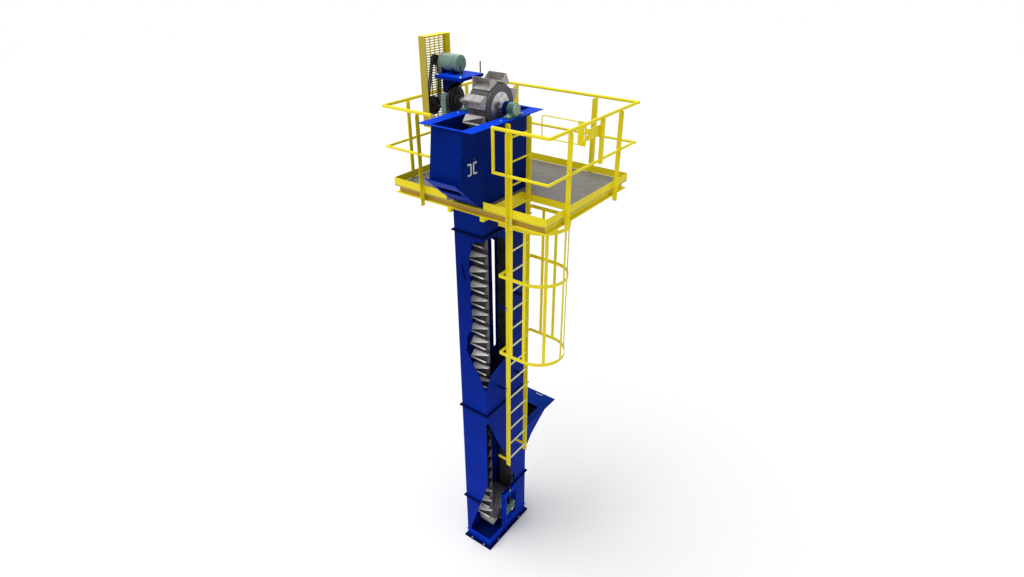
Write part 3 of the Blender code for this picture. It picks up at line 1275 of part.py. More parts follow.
def make_gate(finish):
    """A light swing gate across the way to the ladder opening, on a pin beside the right rail."""
    middle = (GATE_TOP_Z + GATE_LOW_Z) / 2
    right = GATE_HINGE_X - GATE_SLEEVE_RADIUS - 0.003
    plate = boxes((
        (right - GATE_PLATE_WIDE, right),
        (GATE_HINGE_Y - GATE_PLATE_THICK / 2, GATE_HINGE_Y + GATE_PLATE_THICK / 2),
        (GATE_LOW_Z - 0.01, GATE_TOP_Z + 0.01),
    ))
    gate = place("access_gate", plate, finish)
    inner = right - GATE_PLATE_WIDE + 0.010
    rod_path = (
        (inner, GATE_HINGE_Y, GATE_TOP_Z), (GATE_LEAF_X, GATE_HINGE_Y, GATE_TOP_Z),
        (GATE_LEAF_X, GATE_HINGE_Y, GATE_LOW_Z), (inner, GATE_HINGE_Y, GATE_LOW_Z),
    )
    combine(gate, tube(rod_path, GATE_ROD, 8), "UNION", "frame")
    offset = (GATE_TOP_Z - GATE_LOW_Z) / 2 - GATE_SLEEVE_HIGH / 2
    levels = (middle - offset, middle + offset)
    half = GATE_SLEEVE_HIGH / 2
    centre = (GATE_HINGE_X, GATE_HINGE_Y)
    sleeves = rods(*[(GATE_SLEEVE_RADIUS, (z - half, z + half), "z", centre) for z in levels], steps=24)
    combine(gate, sleeves, "UNION", "sleeves")
    tabs = boxes(*[
        (
            (right - OVERLAP, GATE_HINGE_X), (centre[1] - GATE_TAB_HALF, centre[1] + GATE_TAB_HALF),
            (z - half + 0.002, z + half - 0.002),
        )
        for z in levels
    ])
    combine(gate, tabs, "UNION", "tabs")
    bore = rods((GATE_PIN_RADIUS + BORE_GAP, (GATE_LOW_Z - 0.1, GATE_TOP_Z + 0.1), "z", centre), steps=24)
    combine(gate, bore, "DIFFERENCE", "bore")

    pin = rods((GATE_PIN_RADIUS, (levels[0] - half - 0.020, levels[1] + half + 0.012), "z", centre), steps=24)
    bracket = place("gate_bracket", pin, finish)
    arm_x = RAIL_X - GATE_POST_HALF - SEAT_GAP
    gap_z = RUNNING_GAP
    inner_low = levels[0] + half + gap_z
    inner_high = levels[1] - half - gap_z
    middle_high = (inner_high - inner_low) / 2
    knuckle_x = (GATE_HINGE_X - 2 * OVERLAP, arm_x)
    knuckle_y = (GATE_HINGE_Y - GATE_KNUCKLE_HALF, GATE_HINGE_Y + GATE_KNUCKLE_HALF)
    knuckles = boxes(
        (knuckle_x, knuckle_y, (inner_low, inner_low + middle_high - 0.010)),
        (knuckle_x, knuckle_y, (inner_high - middle_high + 0.010, inner_high)),
    )
    combine(bracket, knuckles, "UNION", "knuckles")
    arm = boxes((
        (arm_x - GATE_ARM_THICK, arm_x - OVERLAP / 2), (GATE_HINGE_Y - 0.008, GATE_POST_Y + GATE_POST_HALF),
        (inner_low + 0.004, inner_high - 0.004),
    ))
    combine(bracket, arm, "UNION", "arm")


# Ladder and cage
def make_ladder(finish):
    half = LADDER_CLEAR / 2
    thick = LADDER_RAIL_THICK
    deep = LADDER_RAIL_DEEP / 2
    xs = (LADDER_X - deep, LADDER_X + deep)
    rails = boxes(
        (xs, (LADDER_Y - half - thick, LADDER_Y - half), (LADDER_LOW_Z, LADDER_TOP_Z)),
        (xs, (LADDER_Y + half, LADDER_Y + half + thick), (LADDER_LOW_Z, LADDER_TOP_Z)),
    )
    ladder = place("ladder", rails, finish)
    span = (LADDER_Y - half - thick / 2, LADDER_Y + half + thick / 2)
    specs = [
        (RUNG_RADIUS, span, "y", (LADDER_X, RUNG_TOP_Z - RUNG_PITCH * index)) for index in range(RUNG_COUNT)
    ]
    arms = []
    wall = CASING_X + SEAT_GAP
    for z in STAND_OFF_ZS:
        for side in (-1, 1):
            outer = LADDER_Y + side * (half + thick)
            ys = sorted((outer - side * thick / 2, outer + side * 0.004))
            arms.append(((wall, LADDER_X - deep / 2), ys, (z, z + STAND_OFF_HIGH)))
    combine(ladder, merged(rods(*specs, steps=8), boxes(*arms)), "UNION", "rungs", True)


def cage_outline(offset):
    """One hoop in plan: in beside a rail, out round the climber and back to the other rail."""
    half = CAGE_HALF_Y + offset
    points = [(CAGE_START_X - offset, LADDER_Y - LADDER_CLEAR / 2 - LADDER_RAIL_THICK - SEAT_GAP)]
    points.append((CAGE_START_X - offset, -half))
    for step in range(CAGE_ARC_STEPS + 1):
        angle = -math.pi / 2 + math.pi * step / CAGE_ARC_STEPS
        points.append((CAGE_CENTRE_X + half * math.cos(angle), half * math.sin(angle)))
    points.append((CAGE_START_X - offset, half))
    points.append((CAGE_START_X - offset, LADDER_Y + LADDER_CLEAR / 2 + LADDER_RAIL_THICK + SEAT_GAP))
    return points


def make_cage(finish):
    outer = cage_outline(CAGE_STRAP_THICK / 2)
    inner = cage_outline(-CAGE_STRAP_THICK / 2)
    strap = outer + inner[::-1]
    half = CAGE_STRAP_HIGH / 2
    hoops = [extrusion(strap, "z", (z - half, z + half)) for z in CAGE_HOOP_ZS]
    cage = place("ladder_cage", merged(*hoops), finish)
    low = CAGE_HOOP_ZS[0] - half + 0.004
    high = CAGE_HOOP_ZS[-1] + half - 0.004
    bars = []
    for angle in CAGE_BAR_ANGLES:
        bar = boxes((
            (CAGE_HALF_Y - CAGE_STRAP_THICK, CAGE_HALF_Y - 0.0005),
            (-CAGE_BAR_WIDE / 2, CAGE_BAR_WIDE / 2), (low, high),
        ))
        shift = Matrix.Translation((CAGE_CENTRE_X, 0.0, 0.0))
        bar.transform(shift @ Matrix.Rotation(math.radians(angle), 4, "Z"))
        bars.append(bar)
    combine(cage, merged(*bars), "UNION", "bars")


def build():
    clear_scene()
    finish = make_materials()
    make_base_plate(finish["blue"])
    make_boot(finish["blue"])
    make_lower_leg(finish["blue"])
    make_upper_leg(finish["blue"])
    make_head(finish["blue"])
    make_outlet_frame(finish["blue"])
    make_inspection_cover(finish["blue"])
    make_hopper(finish["blue"])
    make_bucket_belt(finish["steel"])
    make_pulleys(finish)
    make_head_bearings(finish["green"])
    make_take_ups(finish)
    make_reducer(finish)
    make_coupling(finish)
    make_belt_drive(finish)
    make_motor(finish)
    make_motor_plate(finish)
    make_motor_stand(finish)
    make_drive_seat(finish)
    make_guard(finish["yellow"])
    make_platform_frame(finish["yellow"])
    make_deck(finish["deck"])
    make_toe_board(finish["yellow"])
    make_handrails(finish["yellow"])
    make_gate(finish["yellow"])
    make_ladder(finish["yellow"])
    make_cage(finish["yellow"])


build()
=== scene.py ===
# %% [markdown]
# # Dressing a bucket elevator
#
# A bucket elevator lifts loose material in a tall steel casing. Here part of the casing is cut away, so
# that the belt, its buckets and the pulleys show. The solids come in as a fixed frame, and this lesson
# gives them paint, metal and rubber, and adds the pieces that are too fine for the solids: bolts, fins,
# threads, grooves and slots. Everything is in metres, with +Z up and the head shaft along X.

# %% Load the frame
import json
import math

import bmesh
import bpy
import numpy as np
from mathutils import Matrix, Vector


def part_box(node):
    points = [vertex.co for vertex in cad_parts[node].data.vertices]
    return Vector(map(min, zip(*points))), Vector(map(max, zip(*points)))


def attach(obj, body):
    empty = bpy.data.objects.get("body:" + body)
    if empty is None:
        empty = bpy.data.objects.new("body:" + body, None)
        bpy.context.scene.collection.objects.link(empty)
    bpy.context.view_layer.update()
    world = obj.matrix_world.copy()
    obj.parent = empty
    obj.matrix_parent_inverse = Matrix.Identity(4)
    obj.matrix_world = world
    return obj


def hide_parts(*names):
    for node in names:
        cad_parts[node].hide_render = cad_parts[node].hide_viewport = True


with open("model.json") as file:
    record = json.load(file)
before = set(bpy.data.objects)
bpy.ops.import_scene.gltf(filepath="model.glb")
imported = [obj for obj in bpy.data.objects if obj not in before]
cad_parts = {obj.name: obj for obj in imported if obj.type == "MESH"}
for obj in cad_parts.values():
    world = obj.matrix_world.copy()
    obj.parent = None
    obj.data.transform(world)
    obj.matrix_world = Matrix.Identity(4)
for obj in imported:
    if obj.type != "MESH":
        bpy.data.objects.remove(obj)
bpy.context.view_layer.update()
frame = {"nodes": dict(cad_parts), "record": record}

# %% [markdown]
# ## The camera
#
# The picture is a wide view from above the platform, looking down along the tower, so its verticals
# converge. The camera stands where a fit to the ladder's rungs, the handrail and the casing's corners
# puts it. A longer lens further off would be simpler, but it would lose that convergence.

# %% Camera
SCENE = bpy.context.scene
PICTURE_WIDTH_PX = 1024
FOCAL_PX = 636.8
CAMERA_PLACE = (4.895, -6.276, 9.289)
CAMERA_AZIMUTH = 36.09
CAMERA_DOWN = 29.33
CAMERA_ROLL = -0.08

lens = bpy.data.cameras.new("camera")
lens.sensor_width = 36.0
lens.lens = lens.sensor_width * FOCAL_PX / PICTURE_WIDTH_PX
lens.clip_start = 0.05
lens.clip_end = 200.0
camera = bpy.data.objects.new("camera", lens)
camera.location = CAMERA_PLACE
camera.rotation_euler = [math.radians(turn) for turn in (90 - CAMERA_DOWN, CAMERA_ROLL, CAMERA_AZIMUTH)]
SCENE.collection.objects.link(camera)
SCENE.camera = camera
SCENE.view_settings.view_transform = "Standard"
print("lens:", round(lens.lens, 2), "mm")

# %% [markdown]
# ## Small helpers for colour and nodes
#
# Paint colours are easiest to pick as hex values, as a painter's chart gives them, but the shader works
# on linear light, so one function turns them. Another function adds a node with its settings and links,
# which keeps each material short enough to read.

# %% Colour and node helpers
def linear(hex_colour):
    """Linear RGBA of an sRGB hex colour: (c + 0.055) / 1.055 to the power 2.4, or c / 12.92 when dark."""
    channel = np.array([int(hex_colour[i:i + 2], 16) for i in (1, 3, 5)]) / 255.0
    light = np.where(channel <= 0.04045, channel / 12.92, ((channel + 0.055) / 1.055) ** 2.4)
    return (*light.tolist(), 1.0)


def add_node(tree, kind, settings=None, **links):
    """Adds a node, sets its properties and sockets, and links sockets given as nodes or outputs."""
    node = tree.nodes.new(kind)
    for key, value in (settings or {}).items():
        if isinstance(key, str) and hasattr(node, key):
            setattr(node, key, value)
        else:
            node.inputs[key].default_value = value
    for key, source in links.items():
        socket = node.inputs[int(key[1:])] if key[1:].isdigit() else node.inputs[key.replace("_", " ")]
        output = source.outputs[0] if hasattr(source, "outputs") else source
        tree.links.new(output, socket)
    return node


def new_finish(name):
    """A material with only its shader: returns the material, its node tree and the shader."""
    made = bpy.data.materials.new(name)
    made.use_nodes = True
    return made, made.node_tree, made.node_tree.nodes["Principled BSDF"]


def blended(tree, factor, low, high):
    """A colour between two others, by a factor: noise seldom leaves 0.3 to 0.7, so the ramp spans that."""
    ramp = add_node(tree, "ShaderNodeValToRGB", i0=factor)
    for stop, colour, position in zip(ramp.color_ramp.elements, (low, high), (0.3, 0.7)):
        stop.color = linear(colour)
        stop.position = position
    return ramp


print("white is", linear("#FFFFFF")[:3])

# %% [markdown]
# ## Gloss enamel on fabricated sheet
#
# The casing is welded sheet steel, sprayed with a gloss alkyd enamel. Up close such paint has an orange
# peel of a few millimetres, and over a metre its tone drifts a little where the coat is thicker. Both
# are noise on Object coordinates, so that neighbouring sheets agree. Level tops catch the sky, so the
# face's normal picks a lighter tone there, which is painted light. The yellow and green paints also get
# a thin clear coat. The blue ones have none, because the picture shows them deep and nearly dull.

# %% Enamel paints
DRIFT, DUST, SAG = 1.6, 7.0, 5.0  # patches per metre, so about 600, 140 and 200 mm wide
PEEL_DEEP, SAG_DEEP = 0.0006, 0.004
COAT_ROUGHNESS = 0.12
ENAMEL_IOR = 1.5


def enamel(name, deep, bright, top_light_tone, peel_mm, roughness, coat, shine=0.30):
    """Sprayed enamel: slow drift of tone, a lighter tone on level tops that is painted light, orange peel and some
    dust.
    """
    finish, tree, shader = new_finish(name)
    place = add_node(tree, "ShaderNodeTexCoord")
    drift = add_node(tree, "ShaderNodeTexNoise", {"Scale": DRIFT, "Detail": 4.0, "Roughness": 0.6},
                     Vector=place.outputs["Object"])
    tone = blended(tree, drift.outputs["Fac"], deep, bright)
    normal = add_node(tree, "ShaderNodeNewGeometry").outputs["Normal"]
    facing = add_node(tree, "ShaderNodeSeparateXYZ", Vector=normal)
    level = add_node(tree, "ShaderNodeMapRange", {"From Min": 0.75, "From Max": 0.95},
                     Value=facing.outputs["Z"])
    top_lit_tone = add_node(tree, "ShaderNodeMix", {"data_type": "RGBA", 7: linear(top_light_tone)},
                      i0=level.outputs["Result"], i6=tone.outputs["Color"])
    tree.links.new(top_lit_tone.outputs[2], shader.inputs["Base Color"])
    dust = add_node(tree, "ShaderNodeTexNoise", {"Scale": DUST, "Detail": 6.0},
                    Vector=place.outputs["Object"])
    spread = add_node(tree, "ShaderNodeMapRange", {"To Min": roughness - 0.06, "To Max": roughness + 0.10},
                      Value=dust.outputs["Fac"])
    tree.links.new(spread.outputs["Result"], shader.inputs["Roughness"])
    peel = add_node(tree, "ShaderNodeTexNoise", {"Scale": 1000.0 / peel_mm, "Detail": 1.0},
                    Vector=place.outputs["Object"])
    waves = add_node(tree, "ShaderNodeTexNoise", {"Scale": SAG, "Detail": 2.0},
                     Vector=place.outputs["Object"])
    sag = add_node(tree, "ShaderNodeBump", {"Strength": 0.12, "Distance": SAG_DEEP},
                   Height=waves.outputs["Fac"])
    skin = add_node(tree, "ShaderNodeBump", {"Strength": 0.10, "Distance": PEEL_DEEP},
                    Height=peel.outputs["Fac"], Normal=sag.outputs["Normal"])
    tree.links.new(skin.outputs["Normal"], shader.inputs["Normal"])
    shader.inputs["Coat Weight"].default_value = coat
    shader.inputs["Coat Roughness"].default_value = COAT_ROUGHNESS
    shader.inputs["IOR"].default_value = ENAMEL_IOR
    shader.inputs["Specular IOR Level"].default_value = shine
    return finish


blue_enamel = enamel("blue_gloss_enamel", "#01208A", "#042BA0", "#0A46E4", 9.0, 0.42, 0.0, 0.02)
# A darker copy of the blue for blue parts that sit in shade: painted shade.
shade_blue_enamel = enamel("shaded_blue_drive_enamel", "#030F40", "#041452", "#081F70", 9.0, 0.50, 0.0, 0.03)
flange_enamel = enamel("dull_blue_flange_enamel", "#0A2470", "#0D2A80", "#0E2E8A", 9.0, 0.50, 0.0, 0.03)
yellow_enamel = enamel("yellow_safety_enamel", "#DFCC14", "#ECDB1E", "#F6EC2E", 9.0, 0.45, 0.03, 0.15)
machine_enamel = enamel("green_machine_enamel", "#244F42", "#3D6C5C", "#6F9689", 7.0, 0.45, 0.08)
pale_enamel = enamel("pale_cover_enamel", "#7F968D", "#95AAA1", "#A9BBB3", 7.0, 0.42, 0.10)
motor_enamel = enamel("grey_green_motor_enamel", "#587A6E", "#748F85", "#9FB4AB", 7.0, 0.42, 0.08)
print("enamels:", blue_enamel.name, yellow_enamel.name, machine_enamel.name)

# %% [markdown]
# ## Metals, rubber and floor plate
#
# The buckets are pressed from mild steel sheet and left bare. Pressing draws the surface into long faint
# scratches, and handling leaves it cloudy, so its roughness varies more than its colour. The picture
# draws that steel pale and dull, so its metallic share is far below a real metal's. Shafts and pulley
# faces are turned on a lathe, whose cut leaves rings about the axis. Bolts are zinc plated and bright,
# sheaves are grey iron castings with a dark grainy skin, studs are blackened, and the lower rungs are a
# pale painted bar. The belt is rubber over a woven carcass.

# %% Metals
CLOUD = 14.0  # patches per metre, so about 70 mm wide
SCRATCH_DEEP = 0.0004


def sheet_metal(name, dark, light, metallic, rough_low, rough_high, stretch, grain_mm):
    """Worked metal: grain stretched along an axis, cloudy roughness and shallow scratches."""
    finish, tree, shader = new_finish(name)
    place = add_node(tree, "ShaderNodeTexCoord")
    turn = add_node(tree, "ShaderNodeMapping", {"Scale": stretch}, Vector=place.outputs["Object"])
    grain = add_node(tree, "ShaderNodeTexNoise", {"Scale": 1000.0 / grain_mm, "Detail": 3.0},
                     Vector=turn.outputs["Vector"])
    cloud = add_node(tree, "ShaderNodeTexNoise", {"Scale": CLOUD, "Detail": 5.0},
                     Vector=place.outputs["Object"])
    tone = blended(tree, cloud.outputs["Fac"], dark, light)
    tree.links.new(tone.outputs["Color"], shader.inputs["Base Color"])
    spread = add_node(tree, "ShaderNodeMapRange", {"To Min": rough_low, "To Max": rough_high},
                      Value=cloud.outputs["Fac"])
    tree.links.new(spread.outputs["Result"], shader.inputs["Roughness"])
    scratch = add_node(tree, "ShaderNodeBump", {"Strength": 0.15, "Distance": SCRATCH_DEEP},
                       Height=grain.outputs["Fac"])
    tree.links.new(scratch.outputs["Normal"], shader.inputs["Normal"])
    shader.inputs["Metallic"].default_value = metallic
    return finish


# Two copies of the bucket steel, a pale one for buckets in the casing's shade and a darker one for buckets round
# the pulleys and near the head: painted light.
bucket_steel = sheet_metal("pressed_bucket_steel", "#E6E4E1", "#F8F6F4", 0.04, 0.42, 0.58, (0.15, 1, 1), 4.0)
full_light_bucket_steel = sheet_metal("darker_bucket_steel_in_full_light", "#9C9996", "#BCB9B6", 0.15, 0.42, 0.58, (0.15, 1, 1), 4.0)
# Dark steel with mill scale for the drums; the bucket end plates take it as painted shade.
scale_and_shade_steel = sheet_metal("rolled_steel_with_scale_and_shade", "#4C4C50", "#5E5E62", 0.10, 0.50, 0.65, (1, 1, 0.15), 4.0)
turned_steel = sheet_metal("turned_shaft_steel", "#A5A7AA", "#D2D3D5", 0.85, 0.22, 0.40, (1, 0.1, 0.1), 3.0)
zinc_plate = sheet_metal("zinc_plated_fastener", "#B9BDC0", "#E4E6E8", 0.75, 0.25, 0.42, (1, 1, 1), 2.0)
# Near-black steel for buckets and patches in deep shade: painted shade.
shade_steel = sheet_metal("shaded_bucket_steel", "#161617", "#242425", 0.10, 0.50, 0.65, (1, 1, 0.15), 4.0)
grey_iron = sheet_metal("cast_grey_iron", "#221F1D", "#3A3633", 0.40, 0.50, 0.70, (1, 1, 1), 5.0)
rung_steel = sheet_metal("pale_rung_bar", "#DCE2A6", "#F0F3C6", 0.10, 0.40, 0.60, (1, 0.2, 1), 4.0)
rod_steel = sheet_metal("blackened_stud_steel", "#1B1C20", "#33353B", 0.60, 0.35, 0.55, (1, 1, 0.2), 3.0)
print("metals:", bucket_steel.name, turned_steel.name)


# %% Rubber and woven carcass
WAVE_TURN = 20.0  # radians that a wave texture turns through per unit of its scale and place


def wave_scale(spacing_mm):
    """Scale of a wave whose bands stand 2 pi times the spacing apart, as finer ones wouldn't show here."""
    return 1000.0 / spacing_mm / WAVE_TURN


def belt_rubber(name, dark, light, thread_mm):
    """Rubber with the weave of its carcass printed through, as two crossed waves."""
    finish, tree, shader = new_finish(name)
    place = add_node(tree, "ShaderNodeTexCoord")
    cloud = add_node(tree, "ShaderNodeTexNoise", {"Scale": 9.0, "Detail": 5.0},
                     Vector=place.outputs["Object"])
    tone = blended(tree, cloud.outputs["Fac"], dark, light)
    tree.links.new(tone.outputs["Color"], shader.inputs["Base Color"])
    across, along = [add_node(tree, "ShaderNodeTexWave", {"bands_direction": axis, "Scale": wave_scale(thread_mm)},
                              Vector=place.outputs["Object"]) for axis in ("X", "Z")]
    weave = add_node(tree, "ShaderNodeMath", {"operation": "ADD"}, i0=across.outputs["Fac"],
                     i1=along.outputs["Fac"])
    print_through = add_node(tree, "ShaderNodeBump", {"Strength": 0.3, "Distance": 0.0006}, Height=weave)
    tree.links.new(print_through.outputs["Normal"], shader.inputs["Normal"])
    shader.inputs["Roughness"].default_value = 0.62
    return finish


carcass_rubber = belt_rubber("belt_rubber_over_carcass", "#2C2B2A", "#4A4846", 6.0)
v_rubber = belt_rubber("v_belt_rubber", "#1A1614", "#2C2522", 5.0)
print("rubbers:", carcass_rubber.name, v_rubber.name)


# %% Floor plate
def tread_plate(name, dark, light, pitch_mm):
    """Rolled floor plate: crossed rows of raised lozenges from two skewed waves, dull between them."""
    finish, tree, shader = new_finish(name)
    place = add_node(tree, "ShaderNodeTexCoord")
    heights = []
    for turn in (45.0, -45.0):
        skew = add_node(tree, "ShaderNodeMapping", {"Rotation": (0, 0, math.radians(turn))},
                        Vector=place.outputs["Object"])
        heights.append(add_node(tree, "ShaderNodeTexWave", {"Scale": wave_scale(pitch_mm)},
                                Vector=skew.outputs["Vector"]))
    lozenge = add_node(tree, "ShaderNodeMath", {"operation": "MULTIPLY"}, i0=heights[0].outputs["Fac"],
                       i1=heights[1].outputs["Fac"])
    raised = add_node(tree, "ShaderNodeMapRange", {"From Min": 0.45, "From Max": 0.75},
                      Value=lozenge.outputs["Value"])
    wear = add_node(tree, "ShaderNodeTexNoise", {"Scale": 3.0, "Detail": 6.0},
                    Vector=place.outputs["Object"])
    mixed = add_node(tree, "ShaderNodeMath", {"operation": "MULTIPLY_ADD", 1: 0.20},
                     i0=raised.outputs["Result"], i2=wear.outputs["Fac"])
    tone = blended(tree, mixed.outputs["Value"], dark, light)
    tree.links.new(tone.outputs["Color"], shader.inputs["Base Color"])
    relief = add_node(tree, "ShaderNodeBump", {"Strength": 0.6, "Distance": 0.0015},
                      Height=raised.outputs["Result"])
    tree.links.new(relief.outputs["Normal"], shader.inputs["Normal"])
    shader.inputs["Metallic"].default_value = 0.25
    shader.inputs["Roughness"].default_value = 0.52
    return finish


floor_plate = tread_plate("rolled_tread_plate", "#74716E", "#83807D", 34.0)
print("tread plate:", floor_plate.name)

# %% [markdown]
# ## Dressing the solids that stay
#
# Casing sheets, beams and boards have their right shape already, so each solid only needs its finish.
# The record's slots say which paint a node has, and one small table turns a slot into a material. Some
# sheets need more than one tone, and the second tone is painted shade: a flange joint whose dark band is
# partly a gasket seam and partly painted shade, a web that faces away from the light, the casing under the
# platform. A copy of the paint then lays a second tone over a band of heights or directions, which costs no faces.

# %% Finish of every node by its slot
FINISH_OF_SLOT = {
    "blue_paint": blue_enamel, "yellow_paint": yellow_enamel, "machine_green": machine_enamel,
    "bare_steel": turned_steel, "dark_iron": grey_iron, "belt_rubber": v_rubber, "deck_plate": floor_plate,
}
for part in frame["record"]["subparts"]:
    node = frame["nodes"][part["node"]]
    node.data.materials.clear()
    node.data.materials.append(FINISH_OF_SLOT[part["material_slot"]])


# %% Paints with a second tone
def tone_over(finish, factor, tone):
    """Lays a tone over a paint's own colour, by a factor from 0 to 1."""
    tree = finish.node_tree
    shader = tree.nodes["Principled BSDF"]
    painted = shader.inputs["Base Color"].links[0].from_socket
    mixed = add_node(tree, "ShaderNodeMix", {"data_type": "RGBA", 7: linear(tone)}, i0=factor, i6=painted)
    tree.links.new(mixed.outputs[2], shader.inputs["Base Color"])
    return finish


def marked_enamel(base, name, axis, places, reach, tone, of_normal=False):
    """A copy of a paint, with a tone where one coordinate, or the face's normal, is near a place."""
    finish = base.copy()
    finish.name = name
    tree = finish.node_tree
    if of_normal:
        source = add_node(tree, "ShaderNodeNewGeometry").outputs["Normal"]
    else:
        source = add_node(tree, "ShaderNodeTexCoord").outputs["Object"]
    place = add_node(tree, "ShaderNodeSeparateXYZ", Vector=source)
    band = None
    for spot in places:
        near = add_node(tree, "ShaderNodeMath", {"operation": "COMPARE", 1: spot, 2: reach},
                        i0=place.outputs[axis])
        if band is not None:
            near = add_node(tree, "ShaderNodeMath", {"operation": "MAXIMUM"}, i0=band, i1=near)
        band = near
    return tone_over(finish, band, tone)


def platform_shade_copy(base, low_z, high_z, tone, share):
    """A copy of a paint that darkens with height: painted shade of the platform over the casing."""
    finish = base.copy()
    tree = finish.node_tree
    place = add_node(tree, "ShaderNodeSeparateXYZ", Vector=add_node(tree, "ShaderNodeTexCoord").outputs["Object"])
    height = add_node(tree, "ShaderNodeMapRange", {"From Min": low_z, "From Max": high_z, "To Max": share},
                      Value=place.outputs["Z"])
    return tone_over(finish, height, tone)


FRONT_WEB_Y = -0.5203
JOINT_ZS = (0.985, 2.930, 5.870)
FOOT_FLANGE_Z = 0.023
FLANGE_REACH = 0.009
# Dark bands at the flanged joints: painted shade over the flanges, and a dark gasket seam.
JOINT_SHADE_TONE = "#050D38"
WEB_REACH = 0.003
PLATFORM_SHADE_LOW_Z, PLATFORM_SHADE_HIGH_Z = 1.5, 5.5
INSIDE_SLOPE, INSIDE_REACH = 0.75, 0.20
# The channel's front web, facing away from the light, takes a browner yellow: painted shade.
channel_enamel = marked_enamel(yellow_enamel, "yellow_enamel_shaded_web", "Y", (FRONT_WEB_Y,), WEB_REACH,
                               "#B3913F")
# The casing's blue darkens with height between the two heights above: painted shade under the platform.
casing_enamel = marked_enamel(platform_shade_copy(blue_enamel, PLATFORM_SHADE_LOW_Z, PLATFORM_SHADE_HIGH_Z, "#020E40", 0.55),
                              "blue_enamel_shaded_joints", "Z", (FOOT_FLANGE_Z, *JOINT_ZS), FLANGE_REACH,
                              JOINT_SHADE_TONE)
# The hopper's sloping faces, picked by their normal, are near black: painted shade inside the hopper.
hopper_enamel = marked_enamel(blue_enamel, "blue_enamel_shaded_inside", "Z", (INSIDE_SLOPE,), INSIDE_REACH,
                              "#01030C", True)
# The head's blue is a darker copy of the casing's: painted shade over the head, with the joint bands too.
shaded_head_enamel = enamel("shaded_blue_head_enamel", "#011A68", "#03237C", "#0A46E4", 9.0, 0.42, 0.0, 0.02)
head_enamel = marked_enamel(shaded_head_enamel, "shaded_blue_head_joint_shade", "Z", JOINT_ZS, FLANGE_REACH, JOINT_SHADE_TONE)
DRESSED_APART = {
    "platform_frame": channel_enamel, "head_casing": head_enamel, "motor_stand": shade_blue_enamel,
    "base_plate": shade_blue_enamel, "inlet_flange": flange_enamel, "inlet_hopper": hopper_enamel,
    "boot_casing": casing_enamel, "lower_leg_casing": casing_enamel, "upper_leg_casing": casing_enamel,
}
for node, finish in DRESSED_APART.items():
    frame["nodes"][node].data.materials[0] = finish
print("dressed apart:", len(DRESSED_APART), "nodes")

# %% [markdown]
# ## Surfaces from numpy
#
# Every added piece is one of four things: a grid of points that a formula fills, a profile turned about
# an axis, a section carried along a path, or an outline drawn out straight. Each function below works on
# whole arrays and returns a shape: its points, and arrays of faces with the same number of corners.

# %% Grids and tubes
def grid_quads(rows, columns, wrap_rows, wrap_columns):
    """Quads of a grid of points: each joins a point to the next one along both directions."""
    row = np.arange(rows if wrap_rows else rows - 1)[:, None]
    column = np.arange(columns if wrap_columns else columns - 1)[None, :]
    after_row = (row + 1) % rows
    after_column = (column + 1) % columns
    corners = (row * columns + column, row * columns + after_column,
               after_row * columns + after_column, after_row * columns + column)
    return np.stack([np.broadcast_to(c, np.broadcast_shapes(*[k.shape for k in corners])) for c in corners],
                    axis=-1).reshape(-1, 4)


def tube_shape(rings, closed_rings=False):
    """Rings of points joined in order: rings[i, j] is point j of ring i. Open tubes get a face at each end."""
    count, corners, _ = rings.shape
    faces = [grid_quads(count, corners, closed_rings, True)]
    if not closed_rings:
        last = (count - 1) * corners
        faces.append(np.arange(corners)[None, ::-1])
        faces.append(last + np.arange(corners)[None, :])
    return rings.reshape(-1, 3), faces


print("quads of a 3 by 4 grid:", len(grid_quads(3, 4, False, False)))


# %% Turned, carried and drawn-out shapes
def turned(profile, centre, axis="x", steps=48, closed=False):
    """A profile of (radius, place on the axis) turned: point = centre + radius (cos t, sin t) across the axis."""
    radius, along = np.asarray(profile, float).T
    t = np.linspace(0.0, math.tau, steps, endpoint=False)
    first = radius[:, None] * np.cos(t)
    second = radius[:, None] * np.sin(t)
    third = np.broadcast_to(along[:, None], first.shape)
    order = {"x": (third, first, second), "y": (second, third, first), "z": (first, second, third)}[axis]
    return tube_shape(np.stack(order, axis=-1) + np.asarray(centre, float), closed)


def carried(section, path, normal, closed=False):
    """A section of (side, normal) offsets carried along a flat path, with mitred corners."""
    path = np.asarray(path, float)
    normal = np.asarray(normal, float)
    ahead = np.roll(path, -1, axis=0) - path
    behind = path - np.roll(path, 1, axis=0)
    if not closed:
        ahead[-1] = behind[-1]
        behind[0] = ahead[0]
    ahead /= np.linalg.norm(ahead, axis=1)[:, None]
    behind /= np.linalg.norm(behind, axis=1)[:, None]
    middle = ahead + behind
    middle /= np.linalg.norm(middle, axis=1)[:, None]
    side = np.cross(middle, normal) / np.sum(middle * ahead, axis=1)[:, None]
    section = np.asarray(section, float)
    rings = path[:, None] + section[None, :, :1] * side[:, None] + section[None, :, 1:] * normal
    return tube_shape(rings, closed)


def drawn_out(outline, axis, low, high):
    """An outline across an axis, drawn out from low to high: y, z for x; x, z for y; x, y for z."""
    outline = np.asarray(outline, float)
    u, v = outline.T
    rings = []
    for along in (low, high):
        w = np.full(len(outline), along)
        rings.append(np.stack({"x": (w, u, v), "y": (u, w, v), "z": (u, v, w)}[axis], axis=-1))
    return tube_shape(np.array(rings))


def block(xs, ys, zs):
    """A rectangular block between two x, two y and two z values."""
    return drawn_out([(xs[0], ys[0]), (xs[1], ys[0]), (xs[1], ys[1]), (xs[0], ys[1])], "z", zs[0], zs[1])


print("points of a block:", len(block((0, 1), (0, 1), (0, 1))[0]))


